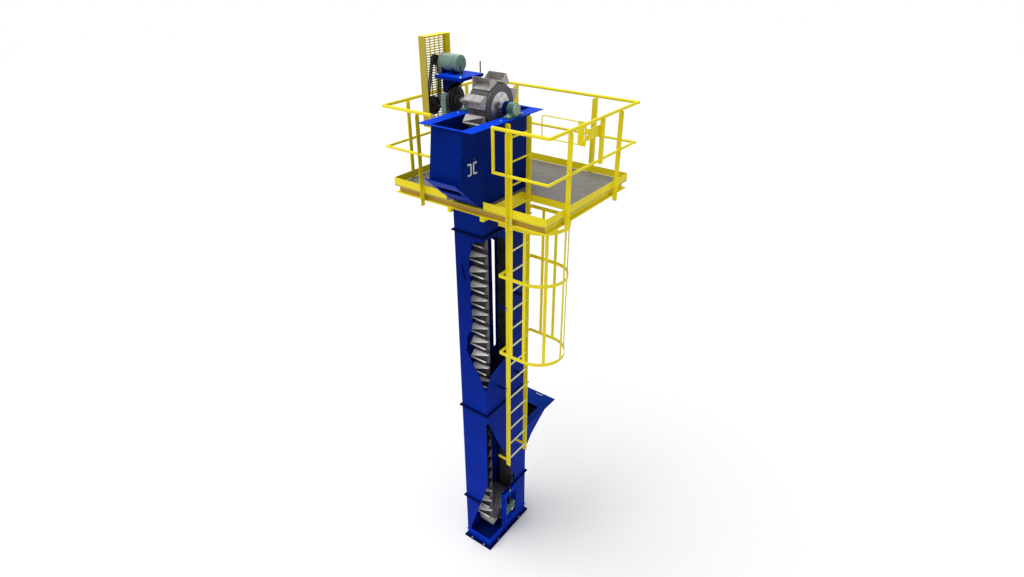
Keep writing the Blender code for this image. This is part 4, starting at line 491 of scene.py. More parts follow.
# %% Several shapes as one
def joined(*shapes):
    """Several shapes as one, with each one's faces counted on from the points before it."""
    counts = np.cumsum([0] + [len(points) for points, _ in shapes])
    faces = [face + start for (_, group), start in zip(shapes, counts) for face in group]
    return np.concatenate([points for points, _ in shapes]), faces


def repeated(shape, places, turns=None):
    """Copies of a shape: point = place + turn @ point, for arrays of places and of 3 by 3 turns."""
    points, faces = shape
    places = np.asarray(places, float)
    turns = np.broadcast_to(np.eye(3), (len(places), 3, 3)) if turns is None else np.asarray(turns)
    copies = np.einsum("kij,nj->kni", turns, points) + places[:, None]
    starts = np.arange(len(places))[:, None, None] * len(points)
    return copies.reshape(-1, 3), [(face[None] + starts).reshape(-1, face.shape[1]) for face in faces]


print("points of two blocks:", len(joined(block((0, 1), (0, 1), (0, 1)), block((2, 3), (0, 1), (0, 1)))[0]))


# %% Sections, profiles and paths
def ring_section(radius, count):
    """A round section as (side, normal) offsets: radius times (cos t, sin t)."""
    t = np.linspace(0.0, math.tau, count, endpoint=False)
    return np.stack((radius * np.cos(t), radius * np.sin(t)), axis=-1)


def measured_from(edge, way, steps):
    """A profile given as (radius, distance from an edge): the place is edge + way times the distance."""
    return [(radius, edge + way * distance) for radius, distance in steps]


def bolt_circle(x, radius, count, axis, first=0.0):
    """Even places round an axis along X: axis + (x, radius cos t, radius sin t)."""
    t = first + np.linspace(0.0, math.tau, count, endpoint=False)
    return np.column_stack((np.full(count, x), radius * np.cos(t), radius * np.sin(t))) + axis


def eased(corners, radius, steps=6):
    """A path with its inner corners as arcs of a radius, tangent to both legs."""
    corners = np.asarray(corners, float)
    out = [corners[0][None]]
    for before, corner, after in zip(corners, corners[1:], corners[2:]):
        a = (before - corner) / np.linalg.norm(before - corner)
        b = (after - corner) / np.linalg.norm(after - corner)
        half = math.acos(np.clip(a @ b, -1, 1)) / 2
        bisector = (a + b) / np.linalg.norm(a + b)
        middle = corner + bisector * radius / math.sin(half)
        sweep = math.pi - 2 * half
        t = np.linspace(-sweep / 2, sweep / 2, steps)[:, None]
        tangent = (b - a) / np.linalg.norm(b - a)
        out.append(middle - bisector * radius * np.cos(t) + tangent * radius * np.sin(t))
    out.append(corners[-1][None])
    return np.concatenate(out)


print("points of an eased corner:", len(eased([(0, 0, 0), (1, 0, 0), (1, 1, 0)], 0.1)))

# %% [markdown]
# ## From a shape to a piece
#
# A mesh could be built face by face, but foreach_set takes whole arrays at once, which stays quick for
# thousands of faces. The same function turns the faces of each closed shell outwards, marks the edges
# over an angle as sharp and softens them with a bevel where asked. It then says which body the piece
# rides and which solid it stands for.


# %% Meshes and what they stand for
def piece(name, shape, finish, body="root", instead_of=(), bevel=0.0, smooth=30.0):
    """A mesh object from a shape, with its finish, its body and what it stands for."""
    points, faces = shape
    mesh = bpy.data.meshes.new(name)
    sizes = np.concatenate([np.full(len(face), face.shape[1]) for face in faces])
    corners = np.concatenate([face.ravel() for face in faces])
    mesh.vertices.add(len(points))
    mesh.vertices.foreach_set("co", np.ascontiguousarray(points, dtype=np.float32).ravel())
    mesh.loops.add(len(corners))
    mesh.loops.foreach_set("vertex_index", corners.astype(np.int32))
    mesh.polygons.add(len(sizes))
    mesh.polygons.foreach_set("loop_start", (np.cumsum(sizes) - sizes).astype(np.int32))
    mesh.update(calc_edges=True)
    mesh.validate()
    made = bpy.data.objects.new(name, mesh)
    SCENE.collection.objects.link(made)
    face_outwards(mesh)
    mesh.materials.append(finish)
    mesh.shade_smooth()
    mesh.set_sharp_from_angle(angle=math.radians(smooth))
    if bevel:
        round_off = made.modifiers.new("rounded_edges", "BEVEL")
        round_off.width = bevel
        round_off.segments = 2
        round_off.limit_method = "ANGLE"
        round_off.harden_normals = True
    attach(made, body)
    if instead_of:
        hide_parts(*instead_of)
    return made


def face_outwards(mesh):
    """Turns the faces of every closed shell outwards."""
    shell = bmesh.new()
    shell.from_mesh(mesh)
    bmesh.ops.recalc_face_normals(shell, faces=shell.faces)
    shell.to_mesh(mesh)
    shell.free()


# %% [markdown]
# ## Bolts
#
# The sections, bearings and posts are held by hexagon bolts. A bolt here is a washer and a hexagon head
# with a small top chamfer, 28 faces in all, because hundreds of them are copied. One function puts the
# same bolt at every place of a list, pointing along one axis.

# %% Bolt heads
AXIS_TURN = {
    "+x": [[0, 0, 1], [0, 1, 0], [-1, 0, 0]], "-x": [[0, 0, -1], [0, 1, 0], [1, 0, 0]],
    "+y": [[1, 0, 0], [0, 0, 1], [0, -1, 0]], "-y": [[1, 0, 0], [0, 0, -1], [0, 1, 0]],
    "+z": [[1, 0, 0], [0, 1, 0], [0, 0, 1]], "-z": [[1, 0, 0], [0, -1, 0], [0, 0, -1]],
}
SEAT_GAP = 0.0003  # the solids stand this far apart where the real pieces touch


def bolt_shape(across):
    """A washer and a hexagon head on the plane z = 0, sized by the distance across the head's flats."""
    point = across / 2 / math.cos(math.pi / 6)
    washer = turned([(across * 0.72, 0.0), (across * 0.72, across * 0.14)], (0, 0, 0), "z", 12)
    head = turned([(point, across * 0.14), (point, across * 0.62), (point * 0.8, across * 0.72)],
                  (0, 0, 0), "z", 6)
    return joined(washer, head)


def bolts(places, axis, across):
    """The same bolt at every place, its head towards an axis."""
    turn = np.broadcast_to(np.array(AXIS_TURN[axis], float), (len(places), 3, 3))
    return repeated(bolt_shape(across), places, turn)


print("faces of one bolt:", sum(len(face) for face in bolt_shape(0.024)[1]))

# %% [markdown]
# ## The belt and its buckets
#
# The belt runs up the back, over the head pulley and down the front. It is one path of two straights and
# two half circles, and a flat section carried along it. The buckets are placed by their distance along
# that path, so one function gives the place and the two directions that a bucket needs. Drawing each
# bucket as a bent sheet with inner and outer skins makes their mouths read as hollow at the head. On the
# straights one front corner of each bucket is folded in behind its lip, and a near-black patch of painted
# shade on the fold shows as a dark wedge.

# %% The belt's path
HEAD_AXIS = (0.0, 0.0, 7.415)
TAIL_AXIS = (0.0, 0.0, 0.560)
PULLEY_RADIUS = 0.270
BELT_RADIUS = 0.27095
BELT_THICK = 0.008
BELT_HALF_WIDTH = 0.128
BELT_FACE = BELT_RADIUS + BELT_THICK
STRAIGHT = HEAD_AXIS[2] - TAIL_AXIS[2]
HALF_TURN = math.pi * BELT_FACE
LOOP = 2 * (STRAIGHT + HALF_TURN)


def on_loop(distance):
    """Place, outward and travel directions at distances on the belt's outer face, upwards at +Y first."""
    along = np.mod(np.asarray(distance, float), LOOP)
    over = np.clip((along - STRAIGHT) / BELT_FACE, 0.0, math.pi)
    under = np.clip((along - 2 * STRAIGHT - HALF_TURN) / BELT_FACE, 0.0, math.pi)
    angle = over + under
    rise = np.clip(along, 0, STRAIGHT) - np.clip(along - STRAIGHT - HALF_TURN, 0, STRAIGHT)
    zero = np.zeros_like(angle)
    out = np.stack((zero, np.cos(angle), np.sin(angle)), axis=-1)
    travel = np.stack((zero, -np.sin(angle), np.cos(angle)), axis=-1)
    axis = np.stack((zero, zero, TAIL_AXIS[2] + rise), axis=-1)
    return axis + BELT_FACE * out, out, travel


ARC_STEPS = 40
BELT_EDGE = 0.0015
arc_stops = np.linspace(0, HALF_TURN, ARC_STEPS)
belt_stops = np.concatenate([[0.0], STRAIGHT + arc_stops, 2 * STRAIGHT + HALF_TURN + arc_stops[:-1]])
belt_section = [
    (-BELT_THICK, -BELT_HALF_WIDTH + BELT_EDGE), (-BELT_EDGE, -BELT_HALF_WIDTH),
    (0.0, -BELT_HALF_WIDTH + BELT_EDGE), (0.0, BELT_HALF_WIDTH - BELT_EDGE),
    (-BELT_EDGE, BELT_HALF_WIDTH), (-BELT_THICK, BELT_HALF_WIDTH - BELT_EDGE),
]
piece("elevator_belt", carried(belt_section, on_loop(belt_stops)[0], (1, 0, 0), closed=True), carcass_rubber,
      instead_of=("bucket_belt",))
print("belt length:", round(LOOP, 3), "m")

# %% One bucket
BUCKET_HALF = 0.135
BUCKET_SHEET = 0.004
BUCKET_PROFILE = [(0.0, 0.160), (0.0, 0.010), (0.006, 0.002), (0.040, 0.0), (0.048, 0.006), (0.120, 0.090)]
LIP_WIDE, LIP_THICK = 0.020, 0.003
PATCH_DEPTHS = (0.0003, 0.0015)
FRONT_EDGE = np.array(BUCKET_PROFILE[-1])
FRONT_RUN = FRONT_EDGE - BUCKET_PROFILE[-2]
FRONT_RUN /= np.linalg.norm(FRONT_RUN)
FRONT_IN = np.array((-FRONT_RUN[1], FRONT_RUN[0]))
STRIP_EDGE = FRONT_EDGE - FRONT_RUN * LIP_WIDE


def inward(profile, thick):
    """An open profile moved in by a thickness, its ends slid along the mouth line."""
    points = np.asarray(profile, float)
    run = np.diff(points, axis=0)
    run /= np.linalg.norm(run, axis=1)[:, None]
    normal = np.stack((-run[:, 1], run[:, 0]), axis=-1)
    joint = normal[:-1] + normal[1:]
    joint /= np.sum(joint * normal[1:], axis=1)[:, None]
    mouth = (points[-1] - points[0]) / np.linalg.norm(points[-1] - points[0])
    first = points[0] + mouth * thick / abs(mouth @ normal[0])
    last = points[-1] - mouth * thick / abs(mouth @ normal[-1])
    return np.concatenate([first[None], points[1:-1] + thick * joint, last[None]])


def bucket_shape(fold):
    """A pressed bucket: x across, y out, z along the travel; fold sets one front corner in, behind the lip."""
    outer = np.array([*BUCKET_PROFILE[:-1], STRIP_EDGE, FRONT_EDGE])
    inner = inward(outer, BUCKET_SHEET)
    count = len(outer)
    layers = []
    for profile, half in ((outer, BUCKET_HALF), (inner, BUCKET_HALF - BUCKET_SHEET)):
        for x in (-half, half):
            layers.append(np.column_stack((np.full(count, x), profile)))
            if x > 0:
                layers[-1][count - 2, 1:] += FRONT_IN * fold
    points = np.concatenate(layers)
    step = np.delete(np.arange(count - 1), count - 3)
    skins = [np.stack((a + step, a + step + 1, b + step + 1, b + step), axis=-1)
             for a, b in ((0, count), (2 * count, 3 * count))]
    end = count - 1
    rims = np.array([
        (0, count, 3 * count, 2 * count), (end, count + end, 3 * count + end, 2 * count + end),
        (0, end, 2 * count + end, 2 * count), (count, count + end, 3 * count + end, 3 * count),
    ])
    sides = np.arange(4 * count).reshape(4, count)
    low, high = count - 3, count - 2
    halves = np.array([face for a, b in ((0, count), (2 * count, 3 * count))
                       for face in ((a + low, b + low, a + high), (b + low, b + high, a + high))])
    return points, [np.concatenate([*skins, rims]), halves, sides]


def corner_patch(fold):
    """A near-black patch of painted shade over the folded corner: the triangle from the far lip corner to the near
    bottom corner.
    """
    corners = np.array([(BUCKET_HALF, *BUCKET_PROFILE[-2]), (-BUCKET_HALF, *STRIP_EDGE),
                        (BUCKET_HALF, *(STRIP_EDGE + FRONT_IN * fold))])
    normal = np.cross(corners[1] - corners[0], corners[2] - corners[0])
    normal /= np.linalg.norm(normal)
    normal *= -np.sign(normal[1:] @ FRONT_IN)
    points = np.concatenate([corners + normal * depth for depth in PATCH_DEPTHS])
    return points, [np.array([(0, 1, 2), (3, 5, 4)]), np.array([(0, 3, 4, 1), (1, 4, 5, 2), (2, 5, 3, 0)])]


def lip_shape():
    """The flat strip along a bucket's front edge, which stays straight where a corner is folded in."""
    behind = FRONT_IN * LIP_THICK
    outline = [FRONT_EDGE, STRIP_EDGE, STRIP_EDGE + behind, FRONT_EDGE + behind]
    return drawn_out(outline, "x", -BUCKET_HALF, BUCKET_HALF)


print("bucket depth:", FRONT_EDGE[0], "m")

# %% Buckets along the belt
BUCKET_COUNT = 67
LEAD_ANGLE = 115.0
CORNER_FOLD = 0.035
SHADE_ZS = (1.20, 2.90)
FULL_LIGHT_FROM_Z = 6.60
ON_BELT = ("bucket_belt",)
bucket_at = STRAIGHT + math.radians(LEAD_ANGLE) * BELT_FACE + np.arange(BUCKET_COUNT) * LOOP / BUCKET_COUNT
place, out, travel = on_loop(bucket_at)
base = place - travel * BUCKET_PROFILE[0][1] / 2
across = np.broadcast_to((1.0, 0.0, 0.0), out.shape)
bucket_turns = np.stack((across, out, travel), axis=-1)


def at_buckets(shape, picked):
    """A shape at every bucket's place that a mask picks."""
    return repeated(shape, base[picked], bucket_turns[picked])


on_strand = np.abs(travel[:, 2]) > 0.999
shaded = on_strand & (base[:, 2] > SHADE_ZS[0]) & (base[:, 2] < SHADE_ZS[1])
in_full_light = on_strand & (base[:, 2] >= FULL_LIGHT_FROM_Z)
folded_bucket = joined(bucket_shape(CORNER_FOLD), lip_shape())
plain_bucket = joined(bucket_shape(0.0), lip_shape())
buckets = piece("strand_buckets", at_buckets(folded_bucket, on_strand & ~shaded & ~in_full_light), bucket_steel,
                instead_of=ON_BELT, smooth=25)
piece("pulley_buckets", joined(at_buckets(folded_bucket, in_full_light), at_buckets(plain_bucket, ~on_strand)), full_light_bucket_steel,
      instead_of=ON_BELT, smooth=25)
# Buckets low on the strands, deep in the casing, take the near-black steel: painted shade.
piece("shaded_low_buckets", at_buckets(folded_bucket, shaded), shade_steel, instead_of=ON_BELT,
      smooth=25)
# A near-black patch on each folded corner: painted shade.
piece("bucket_corner_shade_patches", at_buckets(corner_patch(CORNER_FOLD), on_strand), shade_steel,
      instead_of=ON_BELT)
print("buckets:", BUCKET_COUNT, "pitch:", round(LOOP / BUCKET_COUNT, 4), "m")

# %% End plates and nuts of the buckets
END_PLATE_FACING = 0.9
NUT_XS, NUT_UP, NUT_ACROSS = (-0.080, 0.0, 0.080), 0.115, 0.016
# The buckets' end plates, picked by their normal, take the darker steel: painted shade on the sides away from the
# light.
buckets.data.materials.append(scale_and_shade_steel)
face_normals = np.empty(len(buckets.data.polygons) * 3, dtype=np.float32)
buckets.data.polygons.foreach_get("normal", face_normals)
is_end_plate = (np.abs(face_normals[0::3]) > END_PLATE_FACING).astype(np.int32)
buckets.data.polygons.foreach_set("material_index", is_end_plate)
nuts = bolts([(x, BUCKET_SHEET, NUT_UP) for x in NUT_XS], "+y", NUT_ACROSS)
piece("bucket_bolt_nuts", repeated(nuts, base, bucket_turns), zinc_plate, instead_of=ON_BELT)
print("end plates:", int(is_end_plate.sum()), "nuts:", len(NUT_XS) * BUCKET_COUNT)

# %% [markdown]
# ## Pulleys, shafts and bearings
#
# The head pulley is a welded drum: a rim, two end discs set in from it, and a hub that grips the shaft.
# Turning one closed profile gives all of them at once. The shaft ends keep the small centre hole from the
# lathe. The bearings are pillow blocks: a foot with an arched housing, a seal on one side and a cover on
# the other, a grease nipple on top and two bolts through the foot.

# %% Drums
HEAD_BORE, TAIL_BORE = 0.0362, 0.0282
DRUM_HALF = 0.150
HUB_PLATE_RADIUS = 0.177


def drum_profile(bore, radius, half):
    """Half section of a welded drum, closed: bore, end plate, rim with a slight crown, and back."""
    right = [(bore, half - 0.004), (radius - 0.030, half - 0.004), (radius - 0.016, half - 0.002),
             (radius - 0.002, half), (radius - 0.0008, half - 0.004)]
    left = [(r, -x) for r, x in reversed(right)]
    return right + [(radius, 0.06), (radius, -0.06)] + left


def hub_plates(bore, half, centre):
    """The turned hub plates welded on both ends of a drum, dished towards the shaft."""
    edge = HUB_PLATE_RADIUS
    steps = [(bore, -0.0038), (edge, -0.0038), (edge, -0.001), (edge - 0.004, 0.001), (0.080, 0.006),
             (0.070, 0.011), (bore, 0.012)]
    return joined(*[turned(measured_from(side * half, side, steps), centre, "x", 64, True) for side in (-1.0, 1.0)])


for label, bore, centre in (("head", HEAD_BORE, HEAD_AXIS), ("tail", TAIL_BORE, TAIL_AXIS)):
    piece(f"{label}_drum", turned(drum_profile(bore, PULLEY_RADIUS, DRUM_HALF), centre, "x", 72, True),
          scale_and_shade_steel, body=f"{label}_rotor", instead_of=(f"{label}_pulley",))
    piece(f"{label}_hub_plates", hub_plates(bore, DRUM_HALF, centre), turned_steel, body=f"{label}_rotor",
          instead_of=(f"{label}_pulley",))
print("drum width:", 2 * DRUM_HALF, "m")


# %% Shafts
def shaft_shape(radius, low_x, high_x, centre):
    """A turned shaft with chamfered ends and a centre hole in each."""
    soft = radius * 0.1
    profile = [(0.004, low_x + 0.010), (0.007, low_x), (radius - soft, low_x), (radius, low_x + soft),
               (radius, high_x - soft), (radius - soft, high_x), (0.007, high_x), (0.004, high_x - 0.010)]
    return turned(profile, centre, "x", 40)


def key_shape(radius, xs, centre):
    """A square key let into the top of a shaft."""
    return block(xs, (-0.005, 0.005), (centre[2] + radius - 0.002, centre[2] + radius + 0.003))


def dressed_shaft(name, node, body, centre, key_xs):
    """Dresses a shaft and its key by its solid's box, and returns its radius."""
    low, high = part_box(node)
    radius = (high[2] - low[2]) / 2
    shape = joined(shaft_shape(radius, low[0], high[0], centre), key_shape(radius, key_xs, centre))
    piece(name, shape, turned_steel, body=body, instead_of=(node,))
    return radius


head_radius = dressed_shaft("head_drive_shaft", "head_shaft", "head_rotor", HEAD_AXIS, (-0.485, -0.430))
tail_radius = dressed_shaft("tail_idler_shaft", "tail_shaft", "tail_rotor", TAIL_AXIS, (-0.22, -0.17))
piece("head_hub_screws", bolts(bolt_circle(DRUM_HALF + 0.013, 0.050, 6, HEAD_AXIS), "+x", 0.012), zinc_plate,
      body="head_rotor", instead_of=("head_pulley",))
print("shaft radii:", round(head_radius, 4), round(tail_radius, 4))


# %% Pillow blocks
def housing_outline(foot_half, foot_high, low_z, centre_z, radius):
    """Side view of a pillow block: a foot, two shoulders and an arch about the shaft."""
    t = np.radians(np.linspace(-28, 208, 30))
    arch = np.column_stack((radius * np.cos(t), centre_z + radius * np.sin(t)))
    right = [(foot_half, low_z), (foot_half, low_z + foot_high * 0.8), (radius * 1.12, low_z + foot_high)]
    left = [(-y, z) for y, z in reversed(right)]
    return np.concatenate([right, arch, left])


HOUSING_NEAR, HOUSING_FAR = 0.290, 0.405
ARCH_RADIUS = 0.078
SEAL_NEAR, SEAL_RADIUS = 0.222, 0.081
SHAFT_CLEAR, CAP_HOLE = 0.0385, 0.004
FOOT_HIGH, FOOT_BOLT_Y = 0.030, 0.112


def pillow_block(name, node, side, capped):
    """A pillow block for a plain bearing: its housing, a blue seal drum, an end cover and its bolts."""
    low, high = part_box(node)
    xs = sorted((side * (HOUSING_NEAR + 0.002), side * (HOUSING_FAR - 0.022)))
    outline = housing_outline(high[1], FOOT_HIGH, low[2], HEAD_AXIS[2], ARCH_RADIUS)
    piece(f"{name}_housing", drawn_out(outline, "x", *xs), machine_enamel,
          instead_of=(node,), bevel=0.005)
    outer = side * (HOUSING_FAR - 0.0005)
    bore = CAP_HOLE if capped else SHAFT_CLEAR
    cover = measured_from(outer, -side, [
        (SHAFT_CLEAR, 0.030), (0.070, 0.030), (0.070, 0.005), (0.066, 0.001), (0.040, 0.0), (bore, 0.0),
        (bore, 0.003), (SHAFT_CLEAR, 0.003)])
    piece(f"{name}_end_cover", turned(cover, HEAD_AXIS, "x", 44, True), pale_enamel,
          instead_of=(node,))
    seal = measured_from(0.0, side, [
        (SHAFT_CLEAR, SEAL_NEAR), (SEAL_RADIUS - 0.006, SEAL_NEAR), (SEAL_RADIUS, SEAL_NEAR + 0.006),
        (SEAL_RADIUS, HOUSING_NEAR + 0.001), (SHAFT_CLEAR, HOUSING_NEAR + 0.001)])
    piece(f"{name}_seal_drum", turned(seal, HEAD_AXIS, "x", 44, True), shade_blue_enamel,
          instead_of=(node,))
    middle = side * (HOUSING_NEAR + HOUSING_FAR) / 2
    foot = [(middle, y, low[2] + FOOT_HIGH - 0.0005) for y in (-FOOT_BOLT_Y, FOOT_BOLT_Y)]
    nipple = turned(measured_from(high[2], -1, [(0.006, 0.006), (0.006, 0.003), (0.003, 0.001)]),
                    (middle, 0, 0), "z", 10)
    cover_bolts = bolt_circle(outer - side * 0.007, 0.055, 4, HEAD_AXIS, 0.785)
    heads = joined(bolts(foot, "+z", 0.026), bolts(cover_bolts, "+x" if side > 0 else "-x", 0.010), nipple)
    piece(f"{name}_bolts", heads, zinc_plate, instead_of=(node,))


pillow_block("ladder_side_bearing", "head_bearing_right", 1.0, True)
pillow_block("drive_side_bearing", "head_bearing_left", -1.0, False)

# %% [markdown]
# ## The drive
#
# A motor on a sliding plate turns a gear case through V-belts, and the gear case turns the head shaft
# through a coupling. The motor is a rolled barrel between two end bells, so one turned profile with two
# shallow joints draws it. The gear case is a casting with bolted bosses. The sheaves get real grooves and
# the belts a real wedge section, because their edges catch the light beside the guard.

# %% Motor
low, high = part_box("motor")
MOTOR_AXIS = (0.0, 0.0, 7.857)
rim = high[1]
barrel = measured_from(low[0], 1, [
    (0.018, 0.0), (rim - 0.045, 0.001), (rim - 0.020, 0.010), (rim - 0.006, 0.022), (rim - 0.001, 0.036),
    (rim - 0.001, 0.050), (rim - 0.004, 0.052), (rim - 0.004, 0.056), (rim - 0.001, 0.058), (rim, 0.12)])
barrel += measured_from(high[0], -1, [
    (rim - 0.001, 0.068), (rim - 0.004, 0.066), (rim - 0.004, 0.062), (rim - 0.001, 0.060),
    (rim - 0.001, 0.014), (rim - 0.008, 0.004), (rim - 0.018, 0.001), (0.050, 0.001), (0.046, 0.005),
    (0.022, 0.005), (0.016, 0.0)])
piece("motor_barrel", turned(barrel, MOTOR_AXIS, "x", 64), motor_enamel,
      instead_of=("motor",))


def saddle_outline(half, low_z, thick, radius, centre_z):
    """End view of a motor foot: a flat sole and a hollow cradle that follows the barrel."""
    t = np.radians(np.linspace(-30, -150, 17))
    cradle = np.column_stack((radius * np.cos(t), centre_z + radius * np.sin(t)))
    sole = [(-half, low_z), (half, low_z), (half, low_z + thick)]
    return np.concatenate([sole, cradle, [(-half, low_z + thick)]])


SOLE_Z, SOLE_THICK = 7.7303, 0.012
BELL_SCREWS = 9
saddle = saddle_outline(0.0945, SOLE_Z, SOLE_THICK, rim - 0.006, MOTOR_AXIS[2])
foot_xs = [(low[0] + 0.062, low[0] + 0.100), (high[0] - 0.100, high[0] - 0.062)]
piece("motor_feet", joined(*[drawn_out(saddle, "x", *xs) for xs in foot_xs]), shade_blue_enamel,
      instead_of=("motor",), bevel=0.002)
foot_places = [(sum(xs) / 2, y, SOLE_Z + SOLE_THICK) for xs in foot_xs for y in (-0.082, 0.082)]
bell_places = bolt_circle(high[0] - 0.0068, 0.068, BELL_SCREWS, MOTOR_AXIS)
piece("motor_bolts", joined(bolts(foot_places, "+z", 0.016), bolts(bell_places, "+x", 0.007)), zinc_plate,
      instead_of=("motor",))
print("motor length:", round(high[0] - low[0], 3))

# %% Gear case
low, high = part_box("gear_reducer")
CASE_LOW_Z = 7.190
INPUT_AXIS = (0.0, -0.085, 7.310)


def rounded_outline(y_low, y_high, z_low, z_high, radius, steps=7):
    """A rectangle with quarter circles at its corners."""
    centres = np.array([(y_high - radius, z_high - radius), (y_low + radius, z_high - radius),
                        (y_low + radius, z_low + radius), (y_high - radius, z_low + radius)])
    quarters = np.radians(np.array([0, 90, 180, 270]))[:, None] + np.radians(np.linspace(0, 90, steps))[None]
    arcs = centres[:, None] + radius * np.stack((np.cos(quarters), np.sin(quarters)), axis=-1)
    return arcs.reshape(-1, 2)


def case_outline(inset, radius, steps=7):
    """The gear case's side view, set in from its box."""
    return rounded_outline(low[1] + inset, high[1] - inset, CASE_LOW_Z + inset, high[2] - inset, radius, steps)


middle_x = (low[0] + high[0]) / 2
case = drawn_out(case_outline(0.004, 0.052), "x", low[0] + 0.006, high[0] - 0.006)
flange_ring = drawn_out(case_outline(0.0, 0.055), "x", middle_x - 0.010, middle_x + 0.010)
sole = block((low[0] + 0.002, high[0] - 0.002), (-0.130, 0.130), (low[2], low[2] + 0.020))
piece("gear_case_casting", joined(case, flange_ring, sole), motor_enamel,
      instead_of=("gear_reducer",), bevel=0.004)
output_boss = measured_from(high[0], -1, [
    (0.040, 0.020), (0.082, 0.020), (0.082, 0.006), (0.076, 0.001), (0.040, 0.001)])
input_boss = measured_from(low[0], 1, [
    (0.022, 0.020), (0.058, 0.020), (0.058, 0.004), (0.052, 0.001), (0.022, 0.001)])
piece("gear_case_bosses", joined(turned(output_boss, HEAD_AXIS, "x", 40, True),
                                 turned(input_boss, INPUT_AXIS, "x", 36, True)),
      machine_enamel, instead_of=("gear_reducer",))
case_ring = case_outline(0.018, 0.04, 3)
case_bolts = np.column_stack((np.full(len(case_ring), high[0] - 0.0065), case_ring))
sole_bolts = [(low[0] + 0.045, y, low[2] + 0.020) for y in (-0.105, 0.105)]
piece("gear_case_bolts", joined(bolts(case_bolts, "+x", 0.012), bolts(sole_bolts, "+z", 0.018)), zinc_plate,
      instead_of=("gear_reducer",))
print("gear case bolts:", len(case_bolts) + len(sole_bolts))

# %% Coupling
low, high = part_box("shaft_coupling")
ring, wide, neck = high[1], 0.125, 0.092
coupling = measured_from(low[0], 1, [
    (HEAD_BORE, 0.0), (ring - 0.004, 0.0), (ring, 0.004), (ring, 0.014), (ring - 0.010, 0.016),
    (ring - 0.010, 0.020), (ring, 0.022), (ring, 0.031), (ring - 0.004, 0.035), (wide, 0.036), (wide, 0.055),
    (wide - 0.005, 0.060), (neck, 0.061)])
coupling += measured_from(high[0], -1, [(neck, 0.006), (neck - 0.006, 0.0), (HEAD_BORE, 0.0)])
piece("coupling_halves", turned(coupling, HEAD_AXIS, "x", 64, True), grey_iron, body="head_rotor",
      instead_of=("shaft_coupling",))
piece("coupling_bolts", bolts(bolt_circle(low[0] + 0.035, 0.142, 8, HEAD_AXIS), "+x", 0.014), rod_steel,
      body="head_rotor", instead_of=("shaft_coupling",))
print("coupling length:", round(high[0] - low[0], 3))

# %% Sheaves and V-belts

SHEAVE_X = -0.880
SHEAVE_HALF = 0.030
GROOVES = 3
GROOVE_DEEP = 0.0095
GROOVE_PITCH = 2 * SHEAVE_HALF / GROOVES
DRIVEN_RADIUS, DRIVING_RADIUS = 0.112, 0.064


def grooved_profile(radius, stub_radius, stub_tip):
    """A sheave's section, closed: three wedge grooves in the rim, a thin web, a hub and its stub shaft."""
    right, left = SHEAVE_X + SHEAVE_HALF, SHEAVE_X - SHEAVE_HALF
    across = right - GROOVE_PITCH * (np.arange(GROOVES)[:, None] + np.array([0.10, 0.32, 0.68, 0.90]))
    depth = radius - np.tile([0.0, GROOVE_DEEP, GROOVE_DEEP, 0.0], GROOVES)
    rim = list(zip(depth, across.ravel()))
    web = SHEAVE_X + 0.008
    inner = radius - 0.020
    face = [(stub_radius, web + 0.012), (stub_radius + 0.012, web + 0.012), (stub_radius + 0.014, web),
            (inner, web), (inner + 0.003, right), (radius, right)]
    back = [(radius, left), (inner + 0.003, left), (inner, web - 0.016), (stub_radius + 0.014, web - 0.016),
            (stub_radius + 0.012, left + 0.008), (0.004, left + 0.008)]
    stub = [(0.004, stub_tip), (stub_radius - 0.002, stub_tip), (stub_radius, stub_tip - 0.003)]
    return stub + face + rim + back


for node, radius, stub_radius, centre in (("driven_sheave", DRIVEN_RADIUS, 0.018, INPUT_AXIS),
                                          ("motor_sheave", DRIVING_RADIUS, 0.016, MOTOR_AXIS)):
    profile = grooved_profile(radius, stub_radius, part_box(node)[1][0])
    piece(f"{node}_casting", turned(profile, centre, "x", 56), grey_iron, body=node,
          instead_of=(node,))


def belt_circles(first, first_radius, second, second_radius, steps):
    """The open belt line round two circles in the y z plane: two arcs between their common tangents."""
    gap = np.hypot(second[0] - first[0], second[1] - first[1])
    lean = math.atan2(second[1] - first[1], second[0] - first[0])
    spread = math.acos((first_radius - second_radius) / gap)
    upper = np.linspace(lean + spread, lean - spread, steps)
    lower = np.linspace(lean - spread, lean + spread - math.tau, steps)
    arcs = ((second, second_radius, upper), (first, first_radius, lower))
    return np.concatenate([np.column_stack((centre[0] + radius * np.cos(t), centre[1] + radius * np.sin(t)))
                           for centre, radius, t in arcs])


WEDGE = [(0.0042, -0.0045), (0.0042, 0.0045), (-0.0042, 0.0066), (-0.0042, -0.0066)]
BELT_SEAT = 0.0012
line = belt_circles(INPUT_AXIS[1:], DRIVEN_RADIUS - BELT_SEAT, MOTOR_AXIS[1:], DRIVING_RADIUS - BELT_SEAT, 28)
wedge_loops = []
for index in range(GROOVES):
    x = SHEAVE_X + SHEAVE_HALF - (index + 0.5) * GROOVE_PITCH
    wedge_loops.append(carried(WEDGE, np.column_stack((np.full(len(line), x), line)), (1, 0, 0), True))
piece("wedge_belts", joined(*wedge_loops), v_rubber, instead_of=("v_belts",))
print("wedge belts:", GROOVES)

